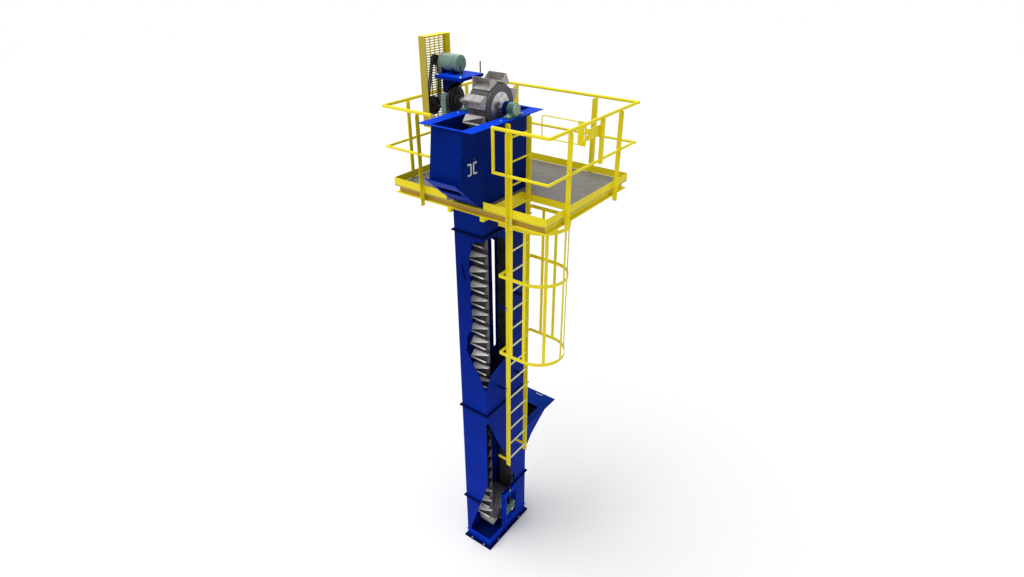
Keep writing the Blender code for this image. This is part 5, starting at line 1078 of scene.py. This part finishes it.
# %% Motor plate
low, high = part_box("motor_plate")
PLATE_TOP, PLATE_DEEP, PLATE_SHEET = 7.730, 0.040, 0.008
SKIRT_SHEET = 0.006
plate_xs, plate_ys = [(low[axis] + 0.0005, high[axis] - 0.0005) for axis in (0, 1)]
corner_path = [(low[0], low[1], 0), (high[0], low[1], 0), (high[0], high[1], 0), (low[0], high[1], 0)]
skirt_section = [(0.0, PLATE_TOP - PLATE_DEEP), (0.0, PLATE_TOP - 0.001), (-SKIRT_SHEET, PLATE_TOP - 0.001),
                 (-SKIRT_SHEET, PLATE_TOP - PLATE_DEEP)]
skirt = carried(skirt_section, corner_path, (0, 0, 1), True)
top_sheet = block(plate_xs, plate_ys, (PLATE_TOP - PLATE_SHEET, PLATE_TOP))
piece("motor_slide_plate", joined(skirt, top_sheet), blue_enamel, instead_of=("motor_plate",),
      bevel=0.0015)
print("motor plate:", round(high[0] - low[0], 3), "by", round(high[1] - low[1], 3), "m")


# %% Studs of the motor plate
def threaded(centre, low_z, high_z, radius, pitch, steps=12):
    """A stud whose radius steps between crest and root twice a pitch."""
    count = int((high_z - low_z) / pitch)
    z = low_z + np.arange(2 * count + 1) * pitch / 2
    r = np.where(np.arange(2 * count + 1) % 2 == 0, radius, radius * 0.86)
    return turned(np.column_stack((r, z)), centre, "z", steps)


STUD_INSET, STUD_RADIUS, STUD_PITCH = 0.028, 0.009, 0.005
stud_places = [(x, y) for x in (low[0] + STUD_INSET, high[0] - STUD_INSET)
               for y in (low[1] + STUD_INSET, high[1] - STUD_INSET)]
studs = [threaded((x, y, 0), low[2], high[2], STUD_RADIUS, STUD_PITCH) for x, y in stud_places]
piece("belt_tension_studs", joined(*studs), rod_steel, instead_of=("motor_plate",))
stud_nuts = joined(bolts([(x, y, PLATE_TOP) for x, y in stud_places], "+z", 0.024),
                   bolts([(x, y, PLATE_TOP - PLATE_SHEET) for x, y in stud_places], "-z", 0.024))
piece("belt_tension_nuts", stud_nuts, zinc_plate, instead_of=("motor_plate",))
print("studs:", len(stud_places))

# %% [markdown]
# ## The belt guard
#
# The guard is a folded sheet box with rows of short punched slots. The slots are real holes, because the
# white behind them is what one sees from the platform. A grid of lines gives both the bars and the slots:
# every second cell in both directions is dropped, and Solidify gives the sheet its thickness.

# %% Slotted guard
low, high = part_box("belt_guard")
GUARD_SHEET = 0.003
SLOT_ROWS = 35
SLOT_COLUMNS = 5
FACE_INSET = 0.014


def cell_lines(start, stop, border, count, open_share):
    """Grid lines with an opening in the middle of each of count equal cells."""
    pitch = (stop - start - 2 * border) / count
    centre = start + border + (np.arange(count) + 0.5) * pitch
    edges = np.stack((centre - pitch * open_share / 2, centre + pitch * open_share / 2), axis=-1).ravel()
    return np.concatenate([[start], edges, [stop]])


SIDE_BORDER, END_BORDER = 0.021, 0.030
slot_y = cell_lines(low[1] + 0.001, high[1] - 0.001, SIDE_BORDER, SLOT_COLUMNS, 0.78)
slot_z = cell_lines(low[2] + 0.001, high[2] - 0.001, END_BORDER, SLOT_ROWS, 0.55)
grid_y, grid_z = np.meshgrid(slot_y, slot_z)
plate_points = np.stack((np.full(grid_y.shape, low[0] + FACE_INSET), grid_y, grid_z), axis=-1).reshape(-1, 3)
quads = grid_quads(len(slot_z), len(slot_y), False, False)
row, column = np.divmod(np.arange(len(quads)), len(slot_y) - 1)
quads = quads[~((row % 2 == 1) & (column % 2 == 1))]
slotted = piece("guard_slotted_face", (plate_points, [quads]), yellow_enamel,
                instead_of=("belt_guard",))
thicken = slotted.modifiers.new("sheet", "SOLIDIFY")
thicken.thickness = GUARD_SHEET
thicken.offset = 0.0
rim_path = [(0, low[1], low[2]), (0, high[1], low[2]), (0, high[1], high[2]), (0, low[1], high[2])]
rim_section = [(0.0, low[0]), (0.0, high[0]), (-GUARD_SHEET, high[0]), (-GUARD_SHEET, low[0])]
# The guard's fold on its low Y side takes a duller yellow: painted shade.
shaded_fold_enamel = marked_enamel(yellow_enamel, "yellow_enamel_shaded_fold", "Y", (low[1],), 0.006, "#B4A238")
piece("guard_folded_sides", carried(rim_section, rim_path, (1, 0, 0), True), shaded_fold_enamel,
      instead_of=("belt_guard",), bevel=0.001)
print("slots:", SLOT_ROWS * SLOT_COLUMNS)

# %% [markdown]
# ## Take-up at the tail
#
# The tail pulley hangs in two sliding housings, and a screw through the top of each frame pulls them down
# to keep the belt tight. The housing is a block with a round boss and an end cover. The screw is a stud
# with a thread, a lock nut above and below the frame's top beam.

# %% Take-up housings and screws
PLATE_INSET = 0.014
TOP_BEAM = 0.0405
for label, side in (("right", 1.0), ("left", -1.0)):
    node = f"tail_bearing_{label}"
    low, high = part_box(node)
    inner, outer = (low[0], high[0]) if side > 0 else (high[0], low[0])
    half = high[1] - 0.0002
    bore = tail_radius + 0.002
    outline = rounded_outline(-half, half, low[2], high[2], 0.020, 4)
    plate = drawn_out(outline, "x", *sorted((inner + side * 0.004, outer - side * PLATE_INSET)))
    profile = measured_from(inner, side, [(bore, 0.002), (0.066, 0.002)])
    profile += measured_from(outer, -side, [(0.066, 0.006), (0.060, 0.0), (0.040, 0.0), (bore, 0.003)])
    piece(f"take_up_housing_{label}", joined(plate, turned(profile, TAIL_AXIS, "x", 40, True)), machine_enamel,
          instead_of=(node,), bevel=0.002)
    corners = [(outer - side * PLATE_INSET, y, TAIL_AXIS[2] + z) for y in (-0.105, 0.105) for z in (-0.060, 0.060)]
    piece(f"take_up_housing_bolts_{label}", bolts(corners, "+x" if side > 0 else "-x", 0.016), zinc_plate,
          instead_of=(node,))
    node = f"take_up_screw_{label}"
    low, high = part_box(node)
    middle = (low[0] + high[0]) / 2
    stud = threaded((middle, 0.0, 0.0), low[2], high[2] - 0.002, 0.0118, 0.0045, 16)
    piece(f"take_up_stud_{label}", stud, rod_steel, instead_of=(node,))
    frame_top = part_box(f"take_up_frame_{label}")[1][2]
    lock_nuts = joined(bolts([(middle, 0, frame_top + SEAT_GAP)], "+z", 0.028),
                       bolts([(middle, 0, frame_top - TOP_BEAM)], "-z", 0.028))
    piece(f"take_up_nuts_{label}", lock_nuts, zinc_plate, instead_of=(node,))
print("take-up housings: 2")

# %% [markdown]
# ## Inspection cover
#
# A bolted cover on the side of the head gives sight of the buckets. Two bent clamps hold it and a knob
# lifts it off. The clamps are flat bar carried round a C, so their corners are mitred like a real bend.

# %% Cover, clamps and knob
COVER = ("inspection_cover",)
low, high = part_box("inspection_cover")
COVER_FACE = low[0] + 0.008
cover_outline = rounded_outline(low[1], high[1], low[2], high[2], 0.012, 4)
piece("cover_sheet", drawn_out(cover_outline, "x", low[0], COVER_FACE - 0.001), head_enamel,
      instead_of=COVER, bevel=0.0015)
middle_y = (low[1] + high[1]) / 2
clamp_low, clamp_high = low[2] + 0.070, high[2] - 0.115
strap = [(-0.010, 0.0), (0.010, 0.0), (0.010, 0.011), (-0.010, 0.011)]
clamps = []
for side in (-1.0, 1.0):
    near, far = middle_y + side * 0.024, middle_y + side * 0.084
    path = eased([(COVER_FACE, far, clamp_low + 0.012), (COVER_FACE, near, clamp_low + 0.012),
                  (COVER_FACE, near, clamp_high - 0.012), (COVER_FACE, far, clamp_high - 0.012)], 0.014, 5)
    clamps.append(carried(strap, path, (1, 0, 0)))
piece("cover_clamps", joined(*clamps), zinc_plate, instead_of=COVER, bevel=0.001)
knob_profile = measured_from(COVER_FACE, 1, [
    (0.007, -0.001), (0.007, 0.010), (0.016, 0.014), (0.018, 0.021), (0.014, 0.028), (0.005, 0.030)])
knob = turned(knob_profile, (0.0, middle_y + 0.02, clamp_high + 0.035), "x", 24)
piece("cover_knob", knob, rod_steel, instead_of=COVER)
screw_places = [(COVER_FACE - 0.001, y, z) for y in (low[1] + 0.020, high[1] - 0.020)
                for z in (low[2] + 0.022, high[2] - 0.022)]
piece("cover_screws", bolts(screw_places, "+x", 0.013), head_enamel, instead_of=COVER)
print("cover:", round(high[1] - low[1], 3), "by", round(high[2] - low[2], 3), "m")

# %% [markdown]
# ## Handrails and posts
#
# The rails are round tube with mitred corners, on angle posts bolted to the outside of the platform
# channel. A post is an angle with its top corners cut off. The tube is a round section carried along the
# rail's path, with rounded ends where it stops at the ladder side.

# %% Rails
RAIL_RADIUS = 0.021
RAIL_TOP_Z = 7.343
RAIL_MID_Z = 6.816
RAIL_X = 1.266
RAIL_FRONT_Y = -0.6033
RAIL_BACK_Y = 1.492
RAIL_MID_RADIUS = RAIL_RADIUS * 0.85


def rail_pair(corners):
    """The top and the middle tube of one rail set, with a small ease at their mitred corners."""
    tubes = []
    for z, radius in ((RAIL_TOP_Z, RAIL_RADIUS), (RAIL_MID_Z, RAIL_MID_RADIUS)):
        path = eased([(x, y, z) for x, y in corners], 0.006, 3)
        tubes.append(carried(ring_section(radius, 20), path, (0, 0, 1)))
    return joined(*tubes)


SEAT = RAIL_RADIUS + SEAT_GAP
LEFT_END, RIGHT_END = -0.435, 0.479
UPRIGHT_INSET = 0.0126
side_rails = {
    label: rail_pair([(x, RAIL_BACK_Y - SEAT), (x, RAIL_FRONT_Y), (end, RAIL_FRONT_Y)])
    for label, x, end in (("left", -RAIL_X, LEFT_END), ("right", RAIL_X, RIGHT_END))
}
back_rail = rail_pair([(-RAIL_X - RAIL_RADIUS, RAIL_BACK_Y), (0.0, RAIL_BACK_Y + 1e-6),
                       (RAIL_X + RAIL_RADIUS, RAIL_BACK_Y)])


def upright(x, y):
    """The short bar that closes a rail set's end."""
    profile = [(0.018, RAIL_MID_Z - 0.005), (0.020, RAIL_MID_Z - 0.003), (0.020, RAIL_TOP_Z + 0.003),
               (0.018, RAIL_TOP_Z + 0.005)]
    return turned(profile, (x, y, 0.0), "z", 20)


print("rail tube:", 2 * RAIL_RADIUS, "m")

# %% Posts
POST_LOW_Z, POST_TOP_Z = 6.120, RAIL_TOP_Z - RAIL_RADIUS + 0.006
POST_SHEET, POST_WIDE, POST_LEG, POST_CUT = 0.006, 0.068, 0.055, 0.028
POST_BOLT_ZS = (6.205, 6.255)


def angle_post(spot, out, along):
    """An angle post and its two bolts: one leg stands out from the frame, the other lies along it."""
    wide = [(0.0, POST_LOW_Z), (POST_WIDE, POST_LOW_Z), (POST_WIDE, POST_TOP_Z - POST_CUT),
            (POST_WIDE - 0.6 * POST_CUT, POST_TOP_Z), (0.0, POST_TOP_Z)]
    flat = [(0.003, POST_LOW_Z + 0.001), (POST_LEG, POST_LOW_Z + 0.001), (POST_LEG, POST_TOP_Z - POST_CUT),
            (POST_LEG - POST_CUT, POST_TOP_Z - 0.003), (0.003, POST_TOP_Z - 0.003)]
    legs = joined(drawn_out(wide, "x", 0.0, POST_SHEET),
                  drawn_out(flat, "y", SEAT_GAP, POST_SHEET + SEAT_GAP))
    heads = bolts([(0.034, POST_SHEET + SEAT_GAP, z) for z in POST_BOLT_ZS], "+y", 0.019)
    turn = np.array([[[along[0], out[0], 0], [along[1], out[1], 0], [0, 0, 1]]], float)
    return [repeated(shape, [(*spot, 0.0)], turn) for shape in (legs, heads)]


FRAME_X = 1.2283
FRAME_FRONT_Y, FRAME_BACK_Y = -0.5656, 1.4543
FRONT_POST_X, BACK_POST_X = 0.687, 0.665
SIDE_POST_YS = (-0.165, 1.050)
left_posts = [((-FRONT_POST_X, FRAME_FRONT_Y), (0, -1), (-1, 0))]
left_posts += [((-FRAME_X, y), (-1, 0), (0, -1)) for y in SIDE_POST_YS]
right_posts = [((FRONT_POST_X, FRAME_FRONT_Y), (0, -1), (1, 0))]
right_posts += [((FRAME_X, y), (1, 0), (0, 1)) for y in SIDE_POST_YS]
back_posts = [((x, FRAME_BACK_Y), (0, 1), (-1, 0)) for x in (-BACK_POST_X, BACK_POST_X)]
rail_sets = {
    "left": (side_rails["left"], left_posts, [upright(LEFT_END - UPRIGHT_INSET, RAIL_FRONT_Y)]),
    "right": (side_rails["right"], right_posts, [upright(RIGHT_END + UPRIGHT_INSET, RAIL_FRONT_Y)]),
    "back": (back_rail, back_posts, []),
}
for label, (tubes, posts, ends) in rail_sets.items():
    node = f"handrail_{label}"
    legs, heads = zip(*[angle_post(*post) for post in posts])
    piece(f"rail_tubes_{label}", joined(tubes, *ends), yellow_enamel, instead_of=(node,))
    piece(f"rail_posts_{label}", joined(*legs), yellow_enamel, instead_of=(node,),
          bevel=0.001)
    piece(f"rail_post_bolts_{label}", joined(*heads), zinc_plate, instead_of=(node,))
GATE_POST_Y, GATE_POST_HALF = 0.570, 0.024
gate_post = block((RAIL_X - GATE_POST_HALF, RAIL_X + GATE_POST_HALF),
                  (GATE_POST_Y - GATE_POST_HALF, GATE_POST_Y + GATE_POST_HALF),
                  (RAIL_MID_Z - 0.050, RAIL_TOP_Z - 0.004))
piece("gate_post", gate_post, yellow_enamel, instead_of=("handrail_right",), bevel=0.004)
print("posts:", sum(len(posts) for _, posts, _ in rail_sets.values()))

# %% [markdown]
# ## Swing gate
#
# The gate is a bent rod on a flat plate, hung on two sleeves. The bracket holds the pin, and its arm runs
# back to the post. The rod is one path carried with rounded corners. The pin is chamfered at both ends.

# %% Gate leaf
HINGE_X, HINGE_Y = 1.190, 0.285
HINGE = (HINGE_X, HINGE_Y, 0.0)
GATE_TOP_Z, GATE_LOW_Z = 7.320, 7.045
GATE_LEAF_X = 0.575
SLEEVE_RADIUS, SLEEVE_BORE, SLEEVE_HALF = 0.015, 0.0079, 0.030
LEAF_YS = (HINGE_Y - 0.004, HINGE_Y + 0.004)
gate_right = HINGE_X - SLEEVE_RADIUS - 0.003
gate_middle = (GATE_TOP_Z + GATE_LOW_Z) / 2
sleeve_zs = [gate_middle + side * ((GATE_TOP_Z - GATE_LOW_Z) / 2 - SLEEVE_HALF) for side in (-1, 1)]
leaf_end = gate_right - 0.070
rod_corners = [(x, HINGE_Y, z) for x, z in (
    (leaf_end, GATE_TOP_Z), (GATE_LEAF_X, GATE_TOP_Z), (GATE_LEAF_X, GATE_LOW_Z), (leaf_end, GATE_LOW_Z))]
rod = carried(ring_section(0.008, 14), eased(rod_corners, 0.030, 7), (0, 1, 0))
leaf_plate = drawn_out([(gate_right - 0.080, GATE_LOW_Z - 0.010), (gate_right, GATE_LOW_Z - 0.010),
                        (gate_right, GATE_TOP_Z + 0.010), (gate_right - 0.080, GATE_TOP_Z + 0.010)], "y", *LEAF_YS)
sleeves = [turned([(SLEEVE_BORE, z - SLEEVE_HALF), (SLEEVE_RADIUS, z - SLEEVE_HALF),
                   (SLEEVE_RADIUS, z + SLEEVE_HALF), (SLEEVE_BORE, z + SLEEVE_HALF)], HINGE, "z", 28, True)
           for z in sleeve_zs]
tabs = [block((gate_right - 0.001, HINGE_X - 0.0085), LEAF_YS, (z - 0.028, z + 0.028)) for z in sleeve_zs]
piece("gate_leaf", joined(rod, leaf_plate, *sleeves, *tabs), yellow_enamel, body="gate",
      instead_of=("access_gate",))
print("gate swings on:", (HINGE_X, HINGE_Y))

# %% Gate bracket
BRACKET = ("gate_bracket",)
pin_low, pin_high = [corner[2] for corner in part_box("gate_bracket")]
pin = turned([(0.005, pin_low), (0.007, pin_low + 0.002), (0.007, pin_high - 0.003), (0.005, pin_high)],
             HINGE, "z", 24)
arm_x = RAIL_X - GATE_POST_HALF - SEAT_GAP
inner_low, inner_high = sleeve_zs[0] + SLEEVE_HALF + 0.006, sleeve_zs[1] - SLEEVE_HALF - 0.006
knuckle_high = (inner_high - inner_low) / 2 - 0.010
knuckles = [block((HINGE_X - 0.002, arm_x), (HINGE_Y - 0.010, HINGE_Y + 0.010), zs)
            for zs in ((inner_low, inner_low + knuckle_high), (inner_high - knuckle_high, inner_high))]
arm = block((arm_x - 0.008, arm_x - 0.0005), (HINGE_Y - 0.008, GATE_POST_Y + GATE_POST_HALF),
            (inner_low + 0.004, inner_high - 0.004))
piece("gate_pin_bracket", joined(pin, *knuckles), yellow_enamel, instead_of=BRACKET)
piece("gate_bracket_arm", arm, yellow_enamel, instead_of=BRACKET)
arm_bolts = [(arm_x - 0.008, y, z) for y in (GATE_POST_Y - 0.012, GATE_POST_Y + 0.012)
             for z in (inner_low + 0.030, inner_high - 0.030)]
piece("gate_bracket_bolts", bolts(arm_bolts, "-x", 0.013), zinc_plate, instead_of=BRACKET)
print("bracket bolts:", len(arm_bolts))

# %% [markdown]
# ## Ladder and safety cage
#
# The rails are flat bar with rounded edges and the rungs are round bar let into them, in a lighter
# finish. The hoops are flat strap bent round the climber, and seven upright bars are bolted inside them:
# five round the bend and one on each straight side. Stand-offs bolt the rails to the casing.

# %% Ladder stiles and stand-offs
LADDER = ("ladder",)
LADDER_X, LADDER_Y = 0.428, -0.0025
CLEAR_HALF = 0.2175
STILE_HALF, STILE_THICK = 0.0375, 0.012
LADDER_LOW_Z, LADDER_TOP_Z = 1.810, 7.300
CASING_SIDE_X = 0.2393
STAND_OFF_ZS, STAND_OFF_HIGH = (1.900, 3.300, 4.700), 0.050


def bar_end(low_z, high_z, half, cut):
    """A flat bar's outline with its corners cut at both ends, in x and z."""
    left, right = LADDER_X - half, LADDER_X + half
    return [(left, low_z + cut), (left + cut, low_z), (right - cut, low_z), (right, low_z + cut),
            (right, high_z - cut), (right - cut, high_z), (left + cut, high_z), (left, high_z - cut)]


stiles, stand_offs, stand_bolts = [], [], []
for side in (-1, 1):
    ys = sorted((LADDER_Y + side * CLEAR_HALF, LADDER_Y + side * (CLEAR_HALF + STILE_THICK)))
    stiles.append(drawn_out(bar_end(LADDER_LOW_Z, LADDER_TOP_Z, STILE_HALF, 0.012), "y", *ys))
for z in STAND_OFF_ZS:
    for side in (-1, 1):
        outer = LADDER_Y + side * (CLEAR_HALF + STILE_THICK)
        ys = sorted((outer - side * 0.006, outer + side * 0.004))
        stand_offs.append(block((CASING_SIDE_X, LADDER_X - STILE_HALF / 2), ys, (z, z + STAND_OFF_HIGH)))
        stand_bolts.append((LADDER_X - STILE_HALF * 0.7, outer + side * 0.004, z + STAND_OFF_HIGH / 2, side))
for name, shapes, finish, slot in (("stiles", stiles, yellow_enamel, "yellow_paint"),
                                   ("foot_brackets", stand_offs[:2], yellow_enamel, "yellow_paint"),
                                   ("stand_offs", stand_offs[2:], shade_blue_enamel, "blue_paint")):
    piece(f"ladder_{name}", joined(*shapes), finish, instead_of=LADDER, bevel=0.0015)
print("stand-offs:", len(stand_offs))

# %% Rungs and the stand-offs' bolts
RUNG_ZS = 7.117 - 0.3048 * np.arange(18)
PAINTED_RUNGS = 4
RUNG_RADIUS = 0.0125
reach = CLEAR_HALF + STILE_THICK - 0.0005
rung = turned([(RUNG_RADIUS - 0.002, -reach), (RUNG_RADIUS, -reach + 0.002), (RUNG_RADIUS, reach - 0.002),
               (RUNG_RADIUS - 0.002, reach)], (0, 0, 0), "y", 18)
for name, zs, finish in (("painted_rungs", RUNG_ZS[:PAINTED_RUNGS], yellow_enamel),
                         ("pale_rungs", RUNG_ZS[PAINTED_RUNGS:], rung_steel)):
    piece(f"ladder_{name}", repeated(rung, [(LADDER_X, LADDER_Y, z) for z in zs]), finish,
          instead_of=LADDER)
for name, side, axis in (("ylow", -1, "-y"), ("yhigh", 1, "+y")):
    spots = [(x, y, z) for x, y, z, which in stand_bolts if which == side]
    piece(f"stand_off_bolts_{name}", bolts(spots, axis, 0.015), zinc_plate, instead_of=LADDER)
print("rungs:", len(RUNG_ZS))

# %% Cage
CAGE = ("ladder_cage",)
CAGE_HALF = 0.375
CAGE_X, CAGE_START_X = 0.790, 0.388
HOOP_ZS = (4.080, 5.312, 6.055)
STRAP_HALF, STRAP_THICK = 0.025, 0.006
BAR_DEPTHS = (CAGE_HALF - 0.0085, CAGE_HALF - 0.0035)
BAR_ZS = (HOOP_ZS[0] - 0.021, HOOP_ZS[-1] + 0.021)
SIDE_BAR_X = (0.560, 0.605)
BAR_ANGLES = np.radians([90, 45, 0, -45, -90])
BUTTON = 0.0045
arc = np.linspace(-math.pi / 2, math.pi / 2, 33)
bend = list(zip(CAGE_X + CAGE_HALF * np.cos(arc), CAGE_HALF * np.sin(arc)))
stile_ys = [LADDER_Y + side * (CLEAR_HALF + STILE_THICK + SEAT_GAP) for side in (-1, 1)]
hoop_line = [(CAGE_START_X, stile_ys[0]), (CAGE_START_X, -CAGE_HALF), *bend, (CAGE_START_X, CAGE_HALF),
             (CAGE_START_X, stile_ys[1])]
strap_section = [(-STRAP_THICK / 2, -STRAP_HALF), (STRAP_THICK / 2, -STRAP_HALF),
                 (STRAP_THICK / 2, STRAP_HALF), (-STRAP_THICK / 2, STRAP_HALF)]
hoops = [carried(strap_section, [(x, y, z) for x, y in hoop_line], (0, 0, 1)) for z in HOOP_ZS]
piece("cage_hoops", joined(*hoops), yellow_enamel, instead_of=CAGE, smooth=25)
turns = np.array([[[math.cos(a), -math.sin(a), 0], [math.sin(a), math.cos(a), 0], [0, 0, 1]] for a in BAR_ANGLES])
bend_bars = repeated(block(BAR_DEPTHS, (-0.0225, 0.0225), BAR_ZS), [(CAGE_X, 0, 0)] * len(turns), turns)
side_bars = [block(SIDE_BAR_X, sorted(side * depth for depth in BAR_DEPTHS), BAR_ZS) for side in (-1, 1)]
piece("cage_bars", joined(bend_bars, *side_bars), yellow_enamel, instead_of=CAGE,
      bevel=0.001)
button = turned([(0.008, 0.0), (0.007, BUTTON * 0.6), (0.003, BUTTON)], (0, 0, 0), "z", 12)
rivet_turns = np.repeat(turns @ np.array(AXIS_TURN["+x"], float), len(HOOP_ZS), axis=0)
rivet_spots = [(CAGE_X, 0, z) + turn @ (CAGE_HALF + STRAP_THICK / 2, 0, 0) for turn in turns for z in HOOP_ZS]
piece("cage_rivets", repeated(button, rivet_spots, rivet_turns), zinc_plate, instead_of=CAGE)
print("hoops:", len(hoops), "bars:", len(turns) + len(side_bars))

# %% [markdown]
# ## Flange bolts
#
# The casing sections meet at flanges that are bolted through a gasket, and the whole stands on anchor
# bolts in the base plate. The bolts were painted with the casing, in the darker blue that is painted shade,
# except the ones on the head's side lips and the anchor bolts, which are replaced at service and stay bright.

# %% Flange and anchor bolts
SIDE_X, FRONT_Y, LIP = 0.256, 0.532, 0.006
BASE_TOP_Z, HEAD_LIP_Z = 0.020, 7.317
full_ring = [(x, y) for x in (-SIDE_X, SIDE_X) for y in np.linspace(-0.450, 0.450, 7)]
full_ring += [(x, y) for x in np.linspace(-0.160, 0.160, 3) for y in (-FRONT_Y, FRONT_Y)]
open_ring = [(x, y) for x, y in full_ring if not (x > 0.03 and y < 0.24)]
painted = []
for joint_z, spots in zip(JOINT_ZS, (open_ring, full_ring, full_ring)):
    painted += [bolts([(x, y, joint_z + SEAT_GAP + LIP) for x, y in spots], "+z", 0.017),
                bolts([(x, y, joint_z - LIP) for x, y in spots], "-z", 0.017)]
piece("casing_flange_bolts", joined(*painted), shade_blue_enamel)
anchors = [(x, y, BASE_TOP_Z) for x in (-0.262, 0.262) for y in (-0.300, 0.300)]
anchors += [(x, y, BASE_TOP_Z) for x in (-0.130, 0.130) for y in (-0.537, 0.537)]
piece("anchor_bolts", bolts(anchors, "+z", 0.022), zinc_plate)
lip_places = [(x, y, HEAD_LIP_Z) for x in (-0.330, 0.330) for y in (-0.235, 0.205)]
piece("head_lip_bolts", bolts(lip_places, "+z", 0.018), zinc_plate)
print("flange bolts:", 2 * (len(open_ring) + 2 * len(full_ring)))

# %% Deck screws
DECK_INSET = 0.022
low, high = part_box("deck")
deck_screws = [(x, y) for x in (low[0] + DECK_INSET, high[0] - DECK_INSET) for y in np.linspace(-0.50, 1.40, 8)]
deck_screws += [(x, high[1] - DECK_INSET) for x in np.linspace(-1.10, 1.10, 8)]
deck_screws += [(x, y) for x in np.linspace(-1.05, 1.05, 6) for y in (0.583, 1.003)]
countersunk = turned([(0.0075, -0.0002), (0.0075, 0.0004), (0.003, 0.0006)], (0, 0, 0), "z", 12)
piece("deck_screws", repeated(countersunk, [(x, y, high[2]) for x, y in deck_screws]), zinc_plate)
print("deck screws:", len(deck_screws))

# %% [markdown]
# ## The far opening
#
# The casing's far side has a tall opening, and the picture shows only a slit of it: a flush sheet covers
# the rest. One flat outline drawn out by the sheet's thickness gives it, with the slit's own slanted edge
# and the small step at its top.

# %% Cover sheet on the far opening
FAR_LOW_Z, FAR_HIGH_Z = 3.5704, 5.4496
FAR_LOW_Y = 0.0004
SLIT_LOW_Y, SLIT_HIGH_Y, SLIT_FAR_Y = 0.288, 0.268, 0.3396
SLIT_DROP = 0.065
SHEET_XS = (-0.2388, -0.2342)
sheet_outline = [(FAR_LOW_Y, FAR_LOW_Z), (SLIT_LOW_Y, FAR_LOW_Z), (SLIT_HIGH_Y, FAR_HIGH_Z - 0.004),
                 (SLIT_FAR_Y, FAR_HIGH_Z - SLIT_DROP), (SLIT_FAR_Y, FAR_HIGH_Z), (FAR_LOW_Y, FAR_HIGH_Z)]
piece("far_opening_sheet", drawn_out(sheet_outline, "x", *SHEET_XS), blue_enamel)
print("slit width:", round(SLIT_FAR_Y - SLIT_HIGH_Y, 3), "m")

# %% [markdown]
# ## Light, floor and background
#
# The picture is evenly lit from above, with a pure white ground. A large soft sun gives the tops their
# lead over the sides. The world is white for the camera and for reflections, and dimmer as a light, so
# that sides keep their depth of colour. The floor is white and only shows the soft shadow.

# %% Sun, world and floor
SUN_STRENGTH = 2.1
SUN_ANGLE = 60.0
WORLD_LIGHT = 0.55
TO_SUN = (-0.24, -0.36, 0.90)
sun_light = bpy.data.lights.new("soft_sun", "SUN")
sun_light.energy = SUN_STRENGTH
sun_light.angle = math.radians(SUN_ANGLE)
sun = bpy.data.objects.new("soft_sun", sun_light)
sun.rotation_euler = Vector(TO_SUN).to_track_quat("Z", "Y").to_euler()
SCENE.collection.objects.link(sun)

world = bpy.data.worlds.new("white_studio")
SCENE.world = world
world.use_nodes = True
sky = world.node_tree
sky.nodes.clear()
rays = add_node(sky, "ShaderNodeLightPath")
seen = add_node(sky, "ShaderNodeMath", {"operation": "MAXIMUM"}, i0=rays.outputs["Is Camera Ray"],
                i1=rays.outputs["Is Transmission Ray"])
bright = add_node(sky, "ShaderNodeMath", {"operation": "MAXIMUM"}, i0=seen, i1=rays.outputs["Is Glossy Ray"])
level = add_node(sky, "ShaderNodeMapRange", {"To Min": WORLD_LIGHT, "To Max": 1.0}, Value=bright)
ground = add_node(sky, "ShaderNodeBackground", {"Color": (1.0, 1.0, 1.0, 1.0)}, Strength=level.outputs["Result"])
add_node(sky, "ShaderNodeOutputWorld", Surface=ground)

FLOOR_HALF, FLOOR_Z = 60.0, -0.001
floor_finish, _, floor_shader = new_finish("white_studio_floor")
floor_shader.inputs["Base Color"].default_value = (0.92, 0.92, 0.92, 1.0)
floor_shader.inputs["Roughness"].default_value = 0.9
floor_mesh = bpy.data.meshes.new("studio_floor")
floor_corners = [(x * FLOOR_HALF, y * FLOOR_HALF, FLOOR_Z) for x, y in ((-1, -1), (1, -1), (1, 1), (-1, 1))]
floor_mesh.from_pydata(floor_corners, [], [(0, 1, 2, 3)])
floor_mesh.materials.append(floor_finish)
floor = bpy.data.objects.new("studio_floor", floor_mesh)
SCENE.collection.objects.link(floor)
print("sun:", SUN_STRENGTH, "world:", WORLD_LIGHT)

# %% [markdown]
# The added pieces must stay inside the solids' overall box.
